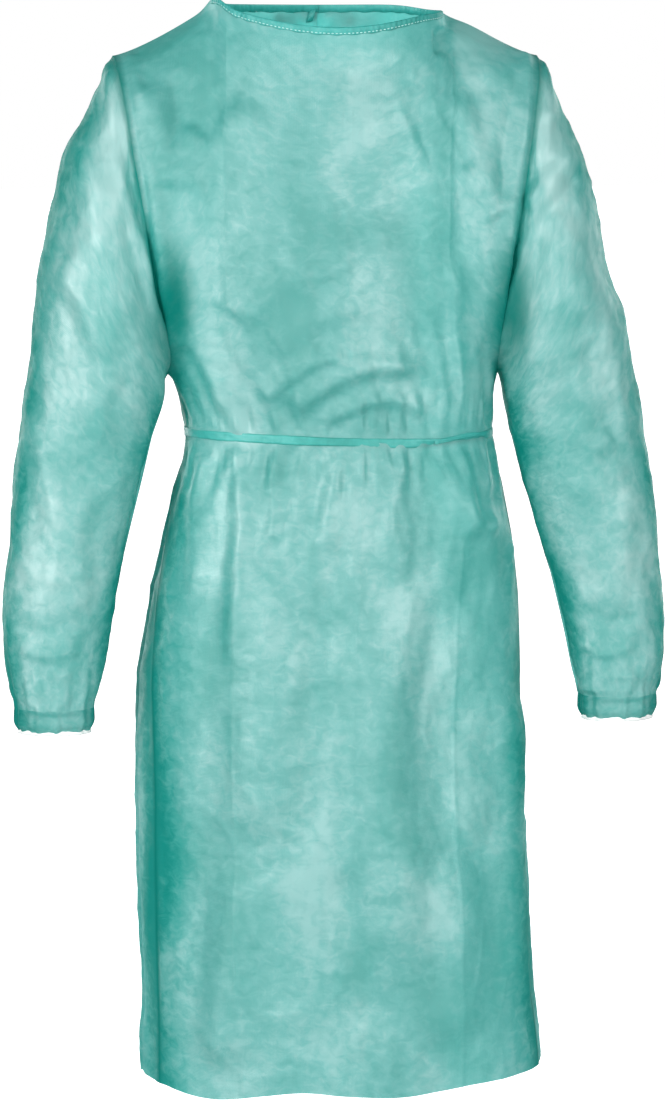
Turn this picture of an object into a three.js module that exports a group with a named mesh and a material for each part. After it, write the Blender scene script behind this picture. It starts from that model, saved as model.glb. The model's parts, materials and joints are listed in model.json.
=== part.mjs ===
// A disposable back-opening gown as it hangs on a wearer: panels of thin nonwoven, sleeves,
// elastic cuffs, neck binding, waist belt and ties. Millimetres, +Z up. The wearer faces -Y,
// so the wearer's left is +X. The origin is midway between the tops of the shoulders.
import * as THREE from 'three';

// ---------- driving dimensions ----------
const CLOTH = 1.6;                 // wall given to the nonwoven, which is really about 0.2 thick
const EDGE_REACH = 0.5;            // how far over a panel an armhole shapes it
const CHEST_SWELL = -10;           // the chest stands out from a straight rise to the neck
const BACK_SWELL = 8;
const SEAM_GAP = 1.2;              // each panel stops this far short of a seam line
const HEM_Z = -1100;
const ARMPIT_Z = -352;
const WAIST_Z = -438;
const WAIST_BAND = 8;              // the waist is straight this far above and below the belt

const SHOULDER_POINT = { x: 222, y: 0, z: -46 };
const NECK_CORNER = { x: 120, y: 5, z: 6 };
const NECK_FRONT = { depth: 88, z: -18 };
const NECK_BACK = { depth: 62, z: 5 };
const BACK_GAP = 15;               // from the middle of the back to each back edge

const ARMHOLE_DEPTH = 72;          // half the armhole, front to back
const ARMHOLE_FOOT_X = 172;
const SLEEVE_SET_OUT = 2.2;        // the sleeve starts this far outside the armhole

// The outside of the body at each height: half width, depth to the front, depth to the back.
const BODY_ROWS = [
  [ARMPIT_Z, 171, 112, 104],
  [-395, 165, 104, 97],
  [WAIST_Z + WAIST_BAND, 160, 98, 92],
  [WAIST_Z - WAIST_BAND, 160, 98, 92],
  [-490, 172, 110, 104],
  [-545, 184, 120, 113],
  [-610, 194, 129, 121],
  [-690, 202, 137, 128],
  [-780, 207, 143, 134],
  [-880, 209, 147, 138],
  [-990, 210, 150, 141],
  [HEM_Z, 212, 152, 142],
];

// The outer and inner lines of a sleeve, from the armhole to the cuff: x, z.
const SLEEVE_OUTER = [
  [222, -46], [244, -95], [273, -155], [292, -230], [307, -310], [320, -390],
  [333, -470], [342, -556], [348, -640], [344, -688], [339, -711],
];
const SLEEVE_INNER = [
  [176.5, -350], [177, -362], [178, -378], [180, -398], [186, -426], [195, -461],
  [207, -505], [224, -570], [241, -640], [251, -688], [256, -711],
];
const SLEEVE_FLATNESS = 0.82;      // depth of the sleeve against its width, below the armhole
const CUFF = { x: 297, y: -56, bottom: -737, half_width: 41, half_depth: 31 };

const BELT = { height: 11, thick: 1.2, stand_off: 2.8 };
const TIE = { width: 11, thick: 1.0 };
const SEAM = { width: 7, thick: 1.0, clear: 3.2 };
const BINDING = { drop: 7, wall: 1.0, clear: 1.3, cap: 1.2, end_gap: 1.5 };

// ---------- colours ----------
const nonwoven = { color: 0x7cc7c1, roughness: 0.75, metalness: 0, side: THREE.DoubleSide };
const COLOURS = {
  panel: nonwoven,
  trim: { color: 0x69b9b2, roughness: 0.75, metalness: 0 },
  elastic: { color: 0xe9ecea, roughness: 0.6, metalness: 0 },
  thread: { color: 0xdfeeec, roughness: 0.6, metalness: 0 },
};

const gown = new THREE.Group();

// ---------- building solids ----------
const V = (x, y, z) => new THREE.Vector3(x, y, z);
const mirrored = (p, side) => V(p.x * side, p.y, p.z);

function signedVolume(position, index) {
  const [a, b, c] = [V(0, 0, 0), V(0, 0, 0), V(0, 0, 0)];
  let volume = 0;
  for (let i = 0; i < index.length; i += 3) {
    a.fromArray(position, index[i] * 3);
    b.fromArray(position, index[i + 1] * 3);
    c.fromArray(position, index[i + 2] * 3);
    volume += a.dot(b.cross(c)) / 6;
  }
  return volume;
}

// Turns points and triangles into a named mesh with its faces pointing out.
function addSolid(name, points, index, look) {
  const position = points.flatMap((p) => [p.x, p.y, p.z]);
  if (signedVolume(position, index) < 0) {
    for (let i = 0; i < index.length; i += 3) {
      [index[i], index[i + 1]] = [index[i + 1], index[i]];
    }
  }
  const geometry = new THREE.BufferGeometry();
  geometry.setAttribute('position', new THREE.Float32BufferAttribute(position, 3));
  geometry.setIndex(index);
  geometry.computeVertexNormals();
  const mesh = new THREE.Mesh(geometry, new THREE.MeshStandardMaterial(look));
  mesh.name = name;
  gown.add(mesh);
}

// The normals of a grid of points, rows by columns. A wrapped grid closes on itself.
function gridNormals(grid, wrap) {
  const rows = grid.length;
  const cols = grid[0].length;
  return grid.map((row, i) => row.map((_, j) => {
    const up = grid[Math.max(i - 1, 0)][j];
    const down = grid[Math.min(i + 1, rows - 1)][j];
    const left = wrap ? row[(j + cols - 1) % cols] : row[Math.max(j - 1, 0)];
    const right = wrap ? row[(j + 1) % cols] : row[Math.min(j + 1, cols - 1)];
    const across = right.clone().sub(left);
    return across.cross(down.clone().sub(up)).normalize();
  }));
}

// A sheet of even thickness through a grid of points.
function addSheet(name, grid, thick, look, wrap = false) {
  const rows = grid.length;
  const cols = grid[0].length;
  const normals = gridNormals(grid, wrap);
  const points = [];
  for (const half of [thick / 2, -thick / 2]) {
    grid.forEach((row, i) => row.forEach((p, j) => {
      points.push(p.clone().addScaledVector(normals[i][j], half));
    }));
  }
  const at = (layer, i, j) => layer * rows * cols + i * cols + (j % cols);
  const index = [];
  const quad = (a, b, c, d) => index.push(a, b, c, a, c, d);
  const lastCol = wrap ? cols : cols - 1;
  for (let i = 0; i < rows - 1; i += 1) {
    for (let j = 0; j < lastCol; j += 1) {
      quad(at(0, i, j), at(0, i, j + 1), at(0, i + 1, j + 1), at(0, i + 1, j));
      quad(at(1, i, j), at(1, i + 1, j), at(1, i + 1, j + 1), at(1, i, j + 1));
    }
  }
  for (let j = 0; j < lastCol; j += 1) {
    quad(at(0, 0, j), at(1, 0, j), at(1, 0, j + 1), at(0, 0, j + 1));
    quad(at(0, rows - 1, j), at(0, rows - 1, j + 1), at(1, rows - 1, j + 1), at(1, rows - 1, j));
  }
  if (!wrap) {
    for (let i = 0; i < rows - 1; i += 1) {
      quad(at(0, i, 0), at(0, i + 1, 0), at(1, i + 1, 0), at(1, i, 0));
      quad(at(0, i, cols - 1), at(1, i, cols - 1), at(1, i + 1, cols - 1), at(0, i + 1, cols - 1));
    }
  }
  addSolid(name, points, index, look);
}

// A flat ribbon: each step has its middle and the direction of its width.
function addRibbon(name, steps, width, thick, look) {
  const grid = steps.map(({ p, across }) => {
    const half = across.clone().normalize().multiplyScalar(width / 2);
    return [p.clone().sub(half), p.clone().add(half)];
  });
  addSheet(name, grid, thick, look);
}

// A section of [out, down] points carried along frames, closed at its ends or into a ring.
function addSweep(name, section, frames, look, ring = false) {
  const points = frames.flatMap(({ p, out, down }) => section.map(
    ([a, b]) => p.clone().addScaledVector(out, a).addScaledVector(down, b),
  ));
  const n = section.length;
  const count = frames.length;
  const index = [];
  for (let i = 0; i < (ring ? count : count - 1); i += 1) {
    for (let k = 0; k < n; k += 1) {
      const [a, b] = [i * n + k, i * n + ((k + 1) % n)];
      const [c, d] = [((i + 1) % count) * n + ((k + 1) % n), ((i + 1) % count) * n + k];
      index.push(a, b, c, a, c, d);
    }
  }
  if (!ring) {
    const outline = section.map(([a, b]) => new THREE.Vector2(a, b));
    for (const [a, b, c] of THREE.ShapeUtils.triangulateShape(outline, [])) {
      const last = (count - 1) * n;
      const turned = THREE.ShapeUtils.area(outline) > 0;
      index.push(...(turned ? [c, b, a] : [a, b, c]));
      index.push(...(turned ? [a, b, c] : [c, b, a]).map((k) => last + k));
    }
  }
  addSolid(name, points, index, look);
}

// A folded strip with two walls that straddle an edge: out of the edge, then down its faces.
function foldedSection(walls, drop, clear, wall, cap) {
  const inner = walls / 2 + clear;
  const outer = inner + wall;
  return [
    [-outer, drop], [-outer, -cap], [outer, -cap], [outer, drop],
    [inner, drop], [inner, -cap + wall], [-inner, -cap + wall], [-inner, drop],
  ];
}

// ---------- the shape of the body ----------
const lerp = THREE.MathUtils.lerp;

function bodySize(z) {
  let k = 0;
  while (k < BODY_ROWS.length - 2 && z < BODY_ROWS[k + 1][0]) k += 1;
  const [upper, lower] = [BODY_ROWS[k], BODY_ROWS[k + 1]];
  const t = (z - upper[0]) / (lower[0] - upper[0]);
  return [1, 2, 3].map((i) => lerp(upper[i], lower[i], t));
}

// A point round the wearer's right half: 0 is the side seam, + to the back, - to the front.
function bodyPoint(angle, z, standOff = 0) {
  const [width, front, back] = bodySize(z);
  const depth = angle < 0 ? front : back;
  return V(
    -(width + standOff) * Math.cos(angle),
    (depth + standOff) * Math.sin(angle),
    z,
  );
}

// The armhole lies in a leaning plane: 0 at the shoulder, 1 at the armpit. face is -1 in front.
function armholePoint(w, face, shrink = 0, outward = 0) {
  const turn = Math.PI * w;
  const middle = V(
    -(SHOULDER_POINT.x + ARMHOLE_FOOT_X) / 2,
    0,
    (SHOULDER_POINT.z + ARMPIT_Z) / 2,
  );
  const up = V(-SHOULDER_POINT.x, 0, SHOULDER_POINT.z).sub(middle);
  const reach = 1 - shrink / up.length();
  const plane = V(-up.z, 0, up.x).normalize().multiplyScalar(-1);
  const outOfPlane = plane.x < 0 ? plane : plane.multiplyScalar(-1);
  return middle
    .addScaledVector(up, Math.cos(turn) * reach)
    .add(V(0, face * (ARMHOLE_DEPTH - shrink) * Math.sin(turn), 0))
    .addScaledVector(outOfPlane, outward);
}

function shoulderPoint(t, face) {
  return V(
    -lerp(SHOULDER_POINT.x, NECK_CORNER.x, t),
    lerp(SHOULDER_POINT.y, NECK_CORNER.y, t) + face * SEAM_GAP,
    lerp(SHOULDER_POINT.z, NECK_CORNER.z, t ** 0.85),
  );
}

function necklinePoint(turn, face) {
  const { depth, z } = face < 0 ? NECK_FRONT : NECK_BACK;
  return V(
    -NECK_CORNER.x * Math.cos(turn),
    NECK_CORNER.y + face * (depth + face * NECK_CORNER.y) * Math.sin(turn),
    lerp(NECK_CORNER.z, z, Math.sin(turn) ** 2),
  );
}

// A patch between four edges. top and foot take u, the sides take w, and all meet at the
// corners. Each side edge bends the straight rise from foot to top only near itself.
function patch(top, foot, near, far, swell) {
  const rise = (u, w) => top(u).lerp(foot(u), w);
  return (u, w) => {
    const p = rise(u, w);
    const byNear = 1 - THREE.MathUtils.smoothstep(u, 0, EDGE_REACH);
    const byFar = THREE.MathUtils.smoothstep(u, 1 - EDGE_REACH, 1);
    p.addScaledVector(near(w).sub(rise(0, w)), byNear);
    p.addScaledVector(far(w).sub(rise(1, w)), byFar);
    p.y += swell * Math.sin(Math.PI * w) * Math.sin(Math.PI * THREE.MathUtils.clamp(u, 0, 1));
    return p;
  };
}

const UPPER_STEPS = [0, 0.1, 0.24, 0.38, 0.54, 0.7, 0.86, 1];
const LOWER_HEIGHTS = BODY_ROWS.slice(1).map(([z]) => z);
const seamAngle = SEAM_GAP / 110;

// ---------- front panel ----------
const SHOULDER_SHARE = 0.22;       // of the front panel's top edge, for each shoulder seam
const frontColumns = [0, 0.11];
for (let k = 0; k <= 10; k += 1) {
  frontColumns.push(SHOULDER_SHARE + (1 - 2 * SHOULDER_SHARE) * (k / 10));
}
frontColumns.push(0.89, 1);

function frontTop(u) {
  if (u > 0.5) return mirrored(frontTop(1 - u), -1);
  if (u <= SHOULDER_SHARE) return shoulderPoint(u / SHOULDER_SHARE, -1);
  const turn = ((u - SHOULDER_SHARE) / (1 - 2 * SHOULDER_SHARE)) * Math.PI;
  return necklinePoint(turn, -1).add(V(0, -SEAM_GAP, 0));
}

function frontAcross(u, z) {
  if (u > 0.5) return mirrored(frontAcross(1 - u, z), -1);
  return bodyPoint(-lerp(seamAngle, Math.PI / 2, 2 * u), z);
}

// The edges of the patch start where its top and foot do, so that the corners agree.
function armholeEdge(face, from, to) {
  return (w) => {
    const p = armholePoint(w, face);
    p.addScaledVector(from.clone().sub(armholePoint(0, face)), 1 - w);
    return p.addScaledVector(to.clone().sub(armholePoint(1, face)), w);
  };
}

const frontArmhole = armholeEdge(-1, frontTop(0), frontAcross(0, ARMPIT_Z));
const frontUpper = patch(
  frontTop,
  (u) => frontAcross(u, ARMPIT_Z),
  frontArmhole,
  (w) => mirrored(frontArmhole(w), -1),
  CHEST_SWELL,
);
const frontGrid = [
  ...UPPER_STEPS.map((w) => frontColumns.map((u) => frontUpper(u, w))),
  ...LOWER_HEIGHTS.map((z) => frontColumns.map((u) => frontAcross(u, z))),
];
addSheet('front_panel', frontGrid, CLOTH, COLOURS.panel);

// ---------- back panels: a side part that stays, and a flap that swings open ----------
const FOLD = 0.45;                 // share of the back panel's width outside the fold
const sideColumns = [0, 0.15, 0.3, FOLD - 0.005];
const flapColumns = [FOLD + 0.005, 0.59, 0.73, 0.87, 1];

function backTop(u) {
  if (u <= FOLD) return shoulderPoint(u / FOLD, 1);
  const lastTurn = Math.acos(BACK_GAP / NECK_CORNER.x);
  const p = necklinePoint(((u - FOLD) / (1 - FOLD)) * lastTurn, 1);
  return p.add(V(0, SEAM_GAP, 0));
}

function backAngle(u, z) {
  return lerp(seamAngle, Math.acos(BACK_GAP / bodySize(z)[0]), u);
}

const backAcross = (u, z) => bodyPoint(backAngle(u, z), z);
const backEdgeTop = backTop(1);
const backEdgeFoot = backAcross(1, ARMPIT_Z);
const backUpper = patch(
  backTop,
  (u) => backAcross(u, ARMPIT_Z),
  armholeEdge(1, backTop(0), backAcross(0, ARMPIT_Z)),
  (w) => V(
    lerp(backEdgeTop.x, backEdgeFoot.x, w),
    lerp(backEdgeTop.y, backEdgeFoot.y, Math.sin((w * Math.PI) / 2)),
    lerp(backEdgeTop.z, backEdgeFoot.z, w),
  ),
  BACK_SWELL,
);

function backGrid(columns, side) {
  return [
    ...UPPER_STEPS.map((w) => columns.map((u) => mirrored(backUpper(u, w), side))),
    ...LOWER_HEIGHTS.map((z) => columns.map((u) => mirrored(backAcross(u, z), side))),
  ];
}

// ---------- neck binding ----------
const bindingSection = foldedSection(
  CLOTH, BINDING.drop, BINDING.clear, BINDING.wall, BINDING.cap + BINDING.clear,
);

function edgeFrames(grid, firstColumn, lastColumn) {
  const normals = gridNormals(grid, false);
  const frames = [];
  for (let j = firstColumn; j <= lastColumn; j += 1) {
    frames.push({
      p: grid[0][j],
      out: normals[0][j],
      down: grid[1][j].clone().sub(grid[0][j]).normalize(),
    });
  }
  const shorten = (end, next) => end.p.lerp(next.p, BINDING.end_gap / end.p.distanceTo(next.p));
  frames.forEach((frame) => { frame.p = frame.p.clone(); });
  shorten(frames[0], frames[1]);
  shorten(frames.at(-1), frames.at(-2));
  return frames;
}

addSweep('neck_binding_front', bindingSection, edgeFrames(frontGrid, 2, 12), COLOURS.trim);

// ---------- sleeves ----------
const SLEEVE_SIDES = 14;

function sleeveRing(k, shrink = 0) {
  const outer = V(-SLEEVE_OUTER[k][0], 0, SLEEVE_OUTER[k][1]);
  const inner = V(-SLEEVE_INNER[k][0], 0, SLEEVE_INNER[k][1]);
  const middle = outer.clone().add(inner).multiplyScalar(0.5);
  const half = outer.sub(inner).multiplyScalar(0.5);
  const settled = THREE.MathUtils.smoothstep(k, 0, 4);
  const depth = lerp(ARMHOLE_DEPTH, half.length() * SLEEVE_FLATNESS, settled);
  const ring = [];
  for (let s = 0; s < SLEEVE_SIDES; s += 1) {
    const turn = (2 * Math.PI * s) / SLEEVE_SIDES;
    const reach = 1 - shrink / half.length();
    ring.push(middle.clone()
      .addScaledVector(half, Math.cos(turn) * reach)
      .add(V(0, (depth - shrink) * Math.sin(turn), 0))
      .add(V(0, CUFF.y * (k / (SLEEVE_OUTER.length - 1)), 0)));
  }
  return ring;
}

function sleeveGrid(side) {
  const grid = SLEEVE_OUTER.map((_, k) => sleeveRing(k));
  grid[0] = grid[0].map((_, s) => {
    const turn = (2 * s) / SLEEVE_SIDES;
    const face = turn < 1 ? 1 : -1;
    return armholePoint(turn < 1 ? turn : 2 - turn, face, 0, SLEEVE_SET_OUT);
  });
  return grid.map((ring) => ring.map((p) => mirrored(p, side)));
}

// ---------- elastic cuffs ----------
const CUFF_STEPS = 20;
const CASING = { height: 24, channel: 1.3, wall: 1.1 };
const ELASTIC = { half_thick: 0.9, from: 4, to: 18 };

// The casing is a strip folded up round the elastic, open at the top inside the sleeve.
const casingOuter = CASING.channel + CASING.wall;
const casingSection = [
  [-casingOuter, 0], [casingOuter, 0], [casingOuter, -CASING.height],
  [CASING.channel, -CASING.height], [CASING.channel, -CASING.wall],
  [-CASING.channel, -CASING.wall], [-CASING.channel, -CASING.height],
  [-casingOuter, -CASING.height],
];
const elasticSection = [
  [-ELASTIC.half_thick, -ELASTIC.from], [ELASTIC.half_thick, -ELASTIC.from],
  [ELASTIC.half_thick, -ELASTIC.to], [-ELASTIC.half_thick, -ELASTIC.to],
];

function cuffFrames(side) {
  const frames = [];
  for (let k = 0; k < CUFF_STEPS; k += 1) {
    const turn = (2 * Math.PI * k) / CUFF_STEPS;
    const p = V(
      -side * (CUFF.x + CUFF.half_width * Math.cos(turn)),
      CUFF.y + CUFF.half_depth * Math.sin(turn),
      CUFF.bottom,
    );
    const out = V(
      -side * Math.cos(turn) * CUFF.half_depth,
      Math.sin(turn) * CUFF.half_width,
      0,
    ).normalize();
    frames.push({ p, out, down: V(0, 0, -1) });
  }
  return frames;
}

// ---------- belt and ties ----------
const BELT_STEPS = 10;

function beltRow(angle, side, z, standOff) {
  return mirrored(bodyPoint(angle, z, standOff), side);
}

function beltFrontGrid() {
  const foldAngle = backAngle(FOLD - 0.02, WAIST_Z);
  const half = [];
  for (let k = 0; k <= 2 * BELT_STEPS; k += 1) {
    half.push(lerp(foldAngle, -Math.PI / 2, k / (2 * BELT_STEPS)));
  }
  const heights = [WAIST_Z + BELT.height / 2, WAIST_Z - BELT.height / 2];
  return heights.map((z) => [
    ...half.map((angle) => beltRow(angle, 1, z, BELT.stand_off)),
    ...half.slice(0, -1).reverse().map((angle) => beltRow(angle, -1, z, BELT.stand_off)),
  ]);
}
addSheet('waist_belt', beltFrontGrid(), BELT.thick, COLOURS.trim);

// A tie runs to the middle of the back, turns out into one loop of the bow, comes back to the
// knot and hangs. Each step: x from the middle, distance behind the panel, height, lean of width.
const WAIST_BOW = [
  [9, 4.5, 0, 0], [6, 7.5, 1, 0], [12, 12, 4, 0], [30, 21, 10, 0], [52, 24, 13, 0],
  [72, 20, 10, 0], [80, 15, 2, 0], [71, 10.5, -5, 0], [50, 9.5, -7, 0], [32, 10, -7, 0.15],
  [24, 11, -12, 0.5], [22, 13, -22, 0.9], [23, 17, -40, 1], [24, 22, -62, 1],
  [26, 29, -105, 1], [30, 37, -170, 1], [33, 44, -245, 1], [35, 49, -310, 1],
];
const NECK_BOW = [
  [7, 7.5, -3, 0], [12, 11, -4, 0], [28, 17, -4, 0], [44, 17, -4, 0], [55, 12, -8, 0],
  [45, 8, -14, 0], [28, 8, -16, 0.15], [21, 9, -21, 0.5], [19, 10, -30, 0.9],
  [20, 16, -70, 1], [23, 30, -140, 1], [26, 42, -210, 1],
];

function bowSteps(bow, backY, height, side) {
  return bow.map(([x, behind, up, lean]) => ({
    p: V(-side * x, backY + behind, height + up),
    across: V(-side * lean, 0, 1 - lean),
  }));
}

function waistTieSteps(side) {
  const steps = [];
  for (let k = 0; k <= 8; k += 1) {
    const u = lerp(FOLD + 0.02, 0.985, k / 8);
    steps.push({
      p: beltRow(backAngle(u, WAIST_Z), side, WAIST_Z, BELT.stand_off),
      across: V(0, 0, 1),
    });
  }
  const backY = bodySize(WAIST_Z)[2];
  return [...steps, ...bowSteps(WAIST_BOW, backY, WAIST_Z, side)];
}

function neckTieSteps(side) {
  const edge = backTop(1);
  return bowSteps(NECK_BOW, edge.y, edge.z - 2, side);
}

// ---------- seams: the sewn allowance stands inside each joined edge ----------
function sideSeamSteps(side) {
  return BODY_ROWS.map(([z, width]) => ({
    p: V(-side * (width - SEAM.clear - SEAM.width / 2), 0, z - (z === ARMPIT_Z ? 6 : 0)),
    across: V(1, 0, 0),
  }));
}

function shoulderSeamSteps(side) {
  const steps = [];
  for (let k = 0; k <= 5; k += 1) {
    const p = mirrored(shoulderPoint(lerp(0.1, 0.88, k / 5), 0), side);
    steps.push({ p: p.add(V(0, 0, -SEAM.clear - SEAM.width / 2 - 1)), across: V(0, 0, 1) });
  }
  return steps;
}

function sleeveSeamSteps(side) {
  const steps = [];
  for (let k = 1; k < SLEEVE_INNER.length - 1; k += 1) {
    const [x, z] = SLEEVE_INNER[k];
    const y = CUFF.y * (k / (SLEEVE_INNER.length - 1));
    const inset = SEAM.clear + SEAM.width / 2;
    steps.push({ p: V(-side * (x + inset), y, z - 2 * (k === 1)), across: V(1, 0, 0) });
  }
  return steps;
}

function armholeSeamGrid(side) {
  const rows = [SEAM.clear + 1, SEAM.clear + 1 + SEAM.width];
  return rows.map((shrink) => {
    const ring = [];
    for (let k = 0; k < 24; k += 1) {
      const w = k / 12;
      const face = w < 1 ? 1 : -1;
      ring.push(mirrored(armholePoint(w < 1 ? w : 2 - w, face, shrink), side));
    }
    return ring;
  });
}

// ---------- both sides of the gown ----------
for (const [side, name] of [[1, 'right'], [-1, 'left']]) {
  addSheet(`back_side_${name}`, backGrid(sideColumns, side), CLOTH, COLOURS.panel);
  const flap = backGrid(flapColumns, side);
  addSheet(`back_flap_${name}`, flap, CLOTH, COLOURS.panel);
  addSweep(
    `neck_binding_back_${name}`,
    bindingSection,
    edgeFrames(flap, 0, flapColumns.length - 1),
    COLOURS.trim,
  );
  addSheet(`sleeve_${name}`, sleeveGrid(side), CLOTH, COLOURS.panel, true);
  addSweep(`cuff_casing_${name}`, casingSection, cuffFrames(side), COLOURS.panel, true);
  addSweep(`cuff_elastic_${name}`, elasticSection, cuffFrames(side), COLOURS.elastic, true);
  addRibbon(`waist_tie_${name}`, waistTieSteps(side), BELT.height, TIE.thick, COLOURS.trim);
  addRibbon(`neck_tie_${name}`, neckTieSteps(side), TIE.width, TIE.thick, COLOURS.trim);
  addRibbon(`side_seam_${name}`, sideSeamSteps(side), SEAM.width, SEAM.thick, COLOURS.thread);
  addRibbon(
    `shoulder_seam_${name}`, shoulderSeamSteps(side), SEAM.width, SEAM.thick, COLOURS.thread,
  );
  addRibbon(`sleeve_seam_${name}`, sleeveSeamSteps(side), SEAM.width, SEAM.thick, COLOURS.thread);
  addSheet(`armhole_seam_${name}`, armholeSeamGrid(side), SEAM.thick, COLOURS.thread, true);
}

export default gown;
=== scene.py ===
# %% [markdown]
# # A thin back-opening gown
# The gown is cut from spunbonded nonwoven: a front, two back panels and two sleeves, with bound
# neck, elastic cuffs and a belt that ties behind. Here each piece is made as a sheet laid over the
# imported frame, folded the way it hangs, and given one translucent cloth finish.

# %% Load the frame
import json
import math

import bpy
import numpy as np
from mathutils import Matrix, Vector, noise

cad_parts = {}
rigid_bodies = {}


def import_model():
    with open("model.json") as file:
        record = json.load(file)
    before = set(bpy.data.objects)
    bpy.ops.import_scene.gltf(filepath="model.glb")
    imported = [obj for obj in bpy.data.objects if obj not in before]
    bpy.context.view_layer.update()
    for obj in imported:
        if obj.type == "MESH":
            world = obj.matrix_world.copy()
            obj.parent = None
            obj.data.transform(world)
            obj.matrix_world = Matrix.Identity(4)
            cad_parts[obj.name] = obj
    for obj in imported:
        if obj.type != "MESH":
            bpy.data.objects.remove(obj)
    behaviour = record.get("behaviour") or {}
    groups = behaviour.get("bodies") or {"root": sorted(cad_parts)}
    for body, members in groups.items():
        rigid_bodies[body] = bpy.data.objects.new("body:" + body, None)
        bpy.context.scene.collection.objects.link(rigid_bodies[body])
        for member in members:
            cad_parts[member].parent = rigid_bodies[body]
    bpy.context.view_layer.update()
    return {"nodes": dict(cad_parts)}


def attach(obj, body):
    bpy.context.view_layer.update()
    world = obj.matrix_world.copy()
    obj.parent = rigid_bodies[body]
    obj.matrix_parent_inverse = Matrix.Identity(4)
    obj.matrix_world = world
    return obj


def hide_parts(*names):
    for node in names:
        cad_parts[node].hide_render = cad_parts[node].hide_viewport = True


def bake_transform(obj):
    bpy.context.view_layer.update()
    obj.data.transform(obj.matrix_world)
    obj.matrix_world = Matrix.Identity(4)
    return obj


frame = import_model()

# %% [markdown]
# The camera stands at shoulder height, a little to the wearer's right, and looks slightly down at
# the middle of the gown. A long lens keeps the sleeves and the hem in proportion.

# %% Camera
VIEW_TURN = math.radians(-9)
VIEW_FAR = 4.5
VIEW_CENTRE = Vector((0.0, 0.0, -0.563))
VIEW_HEIGHT = 1.157

bpy.ops.object.select_all(action="DESELECT")
camera_place = Vector((VIEW_FAR * math.sin(VIEW_TURN), -VIEW_FAR * math.cos(VIEW_TURN), 0.0))
look = VIEW_CENTRE - camera_place
bpy.ops.object.camera_add(location=camera_place, rotation=look.to_track_quat("-Z", "Y").to_euler())
camera = bpy.context.object
camera.data.lens = camera.data.sensor_width * look.length / VIEW_HEIGHT
bpy.context.scene.camera = camera
print("lens", round(camera.data.lens, 1))


# %% [markdown]
# Cloth is easiest to shape as a grid of points, so one helper adds a grid primitive, puts each of
# its points in place and writes a UV map in metres of cloth. The finish reads that map, so fibres
# and creases follow the cloth when a sleeve lifts or the back opens.

# %% Helpers for sheets
def put_grid(name, points, uv, outward=None):
    """A sheet through points (rows x columns x 3), with its UV map in metres."""
    rows, cols = points.shape[:2]
    if outward is not None:
        across = points[1:, 1:] - points[1:, :-1]
        down = points[1:, 1:] - points[:-1, 1:]
        if (np.cross(across, down) * outward(points[1:, 1:])).sum() > 0:
            points, uv = points[::-1], uv[::-1]
    bpy.ops.object.select_all(action="DESELECT")
    bpy.ops.mesh.primitive_grid_add(x_subdivisions=cols - 1, y_subdivisions=rows - 1, size=1)
    piece = bpy.context.object
    piece.name = name
    mesh = piece.data
    mesh.vertices.foreach_set("co", np.ascontiguousarray(points, dtype=np.float32).ravel())
    corners = np.empty(len(mesh.loops), dtype=np.int32)
    mesh.loops.foreach_get("vertex_index", corners)
    flat = np.ascontiguousarray(uv, dtype=np.float32).reshape(-1, 2)[corners]
    mesh.uv_layers.active.data.foreach_set("uv", flat.ravel())
    mesh.uv_layers.active.name = "Cloth"
    mesh.update()
    bpy.ops.object.shade_smooth()
    return piece


def join_edges(piece, distance=0.00005):
    """Merge the points where a sheet meets itself."""
    bpy.ops.object.select_all(action="DESELECT")
    piece.select_set(True)
    bpy.context.view_layer.objects.active = piece
    bpy.ops.object.mode_set(mode="EDIT")
    bpy.ops.mesh.select_all(action="SELECT")
    bpy.ops.mesh.remove_doubles(threshold=distance)
    bpy.ops.mesh.normals_make_consistent(inside=False)
    bpy.ops.object.mode_set(mode="OBJECT")


def normals_of(points):
    """Unit normals of a grid of points."""
    across = np.gradient(points, axis=1)
    down = np.gradient(points, axis=0)
    n = np.cross(across, down)
    return n / np.maximum(np.linalg.norm(n, axis=2, keepdims=True), 1e-12)


def settle(points, times, wrap=False):
    """Even out a grid, with its border held."""
    for _ in range(times):
        if wrap:
            ring = points[:, :-1]
            side = np.roll(ring, 1, axis=1) + np.roll(ring, -1, axis=1)
            mean = (side[1:-1] + ring[2:] + ring[:-2]) / 4
            points[1:-1, :-1] = mean
            points[1:-1, -1] = points[1:-1, 0]
        else:
            mean = (points[1:-1, 2:] + points[1:-1, :-2] + points[2:, 1:-1] + points[:-2, 1:-1]) / 4
            points[1:-1, 1:-1] = mean
    return points


def smoothstep(t):
    t = np.clip(t, 0, 1)
    return t * t * (3 - 2 * t)


def curve_through(knots, count):
    """Points spread evenly in parameter on a smooth curve through the knots."""
    knots = np.asarray(knots, dtype=float)
    padded = np.vstack([2 * knots[0] - knots[1], knots, 2 * knots[-1] - knots[-2]])
    t = np.linspace(0, len(knots) - 1, count)
    i = np.minimum(t.astype(int), len(knots) - 2)
    f = (t - i)[:, None]
    a, b, c, d = (padded[i + k] for k in range(4))
    return 0.5 * (2 * b + (c - a) * f + (2 * a - 5 * b + 4 * c - d) * f**2
                  + (3 * b - a - 3 * c + d) * f**3)


def uv_along(points):
    """Lengths of cloth down each column and across each row, in metres."""
    across = np.linalg.norm(np.diff(points, axis=1), axis=2).mean(axis=0)
    down = np.linalg.norm(np.diff(points, axis=0), axis=2).mean(axis=1)
    u = np.concatenate([[0], np.cumsum(across)])
    v = np.concatenate([[0], np.cumsum(down)])
    return np.stack(np.meshgrid(u - u[-1] / 2, -v), axis=2)


# %% [markdown]
# The wearer's shape is a stack of ovals. Each row gives a height, half the width, and the depth to
# the front and to the back. The belt draws the waist in, and the skirt falls nearly straight.

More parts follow.
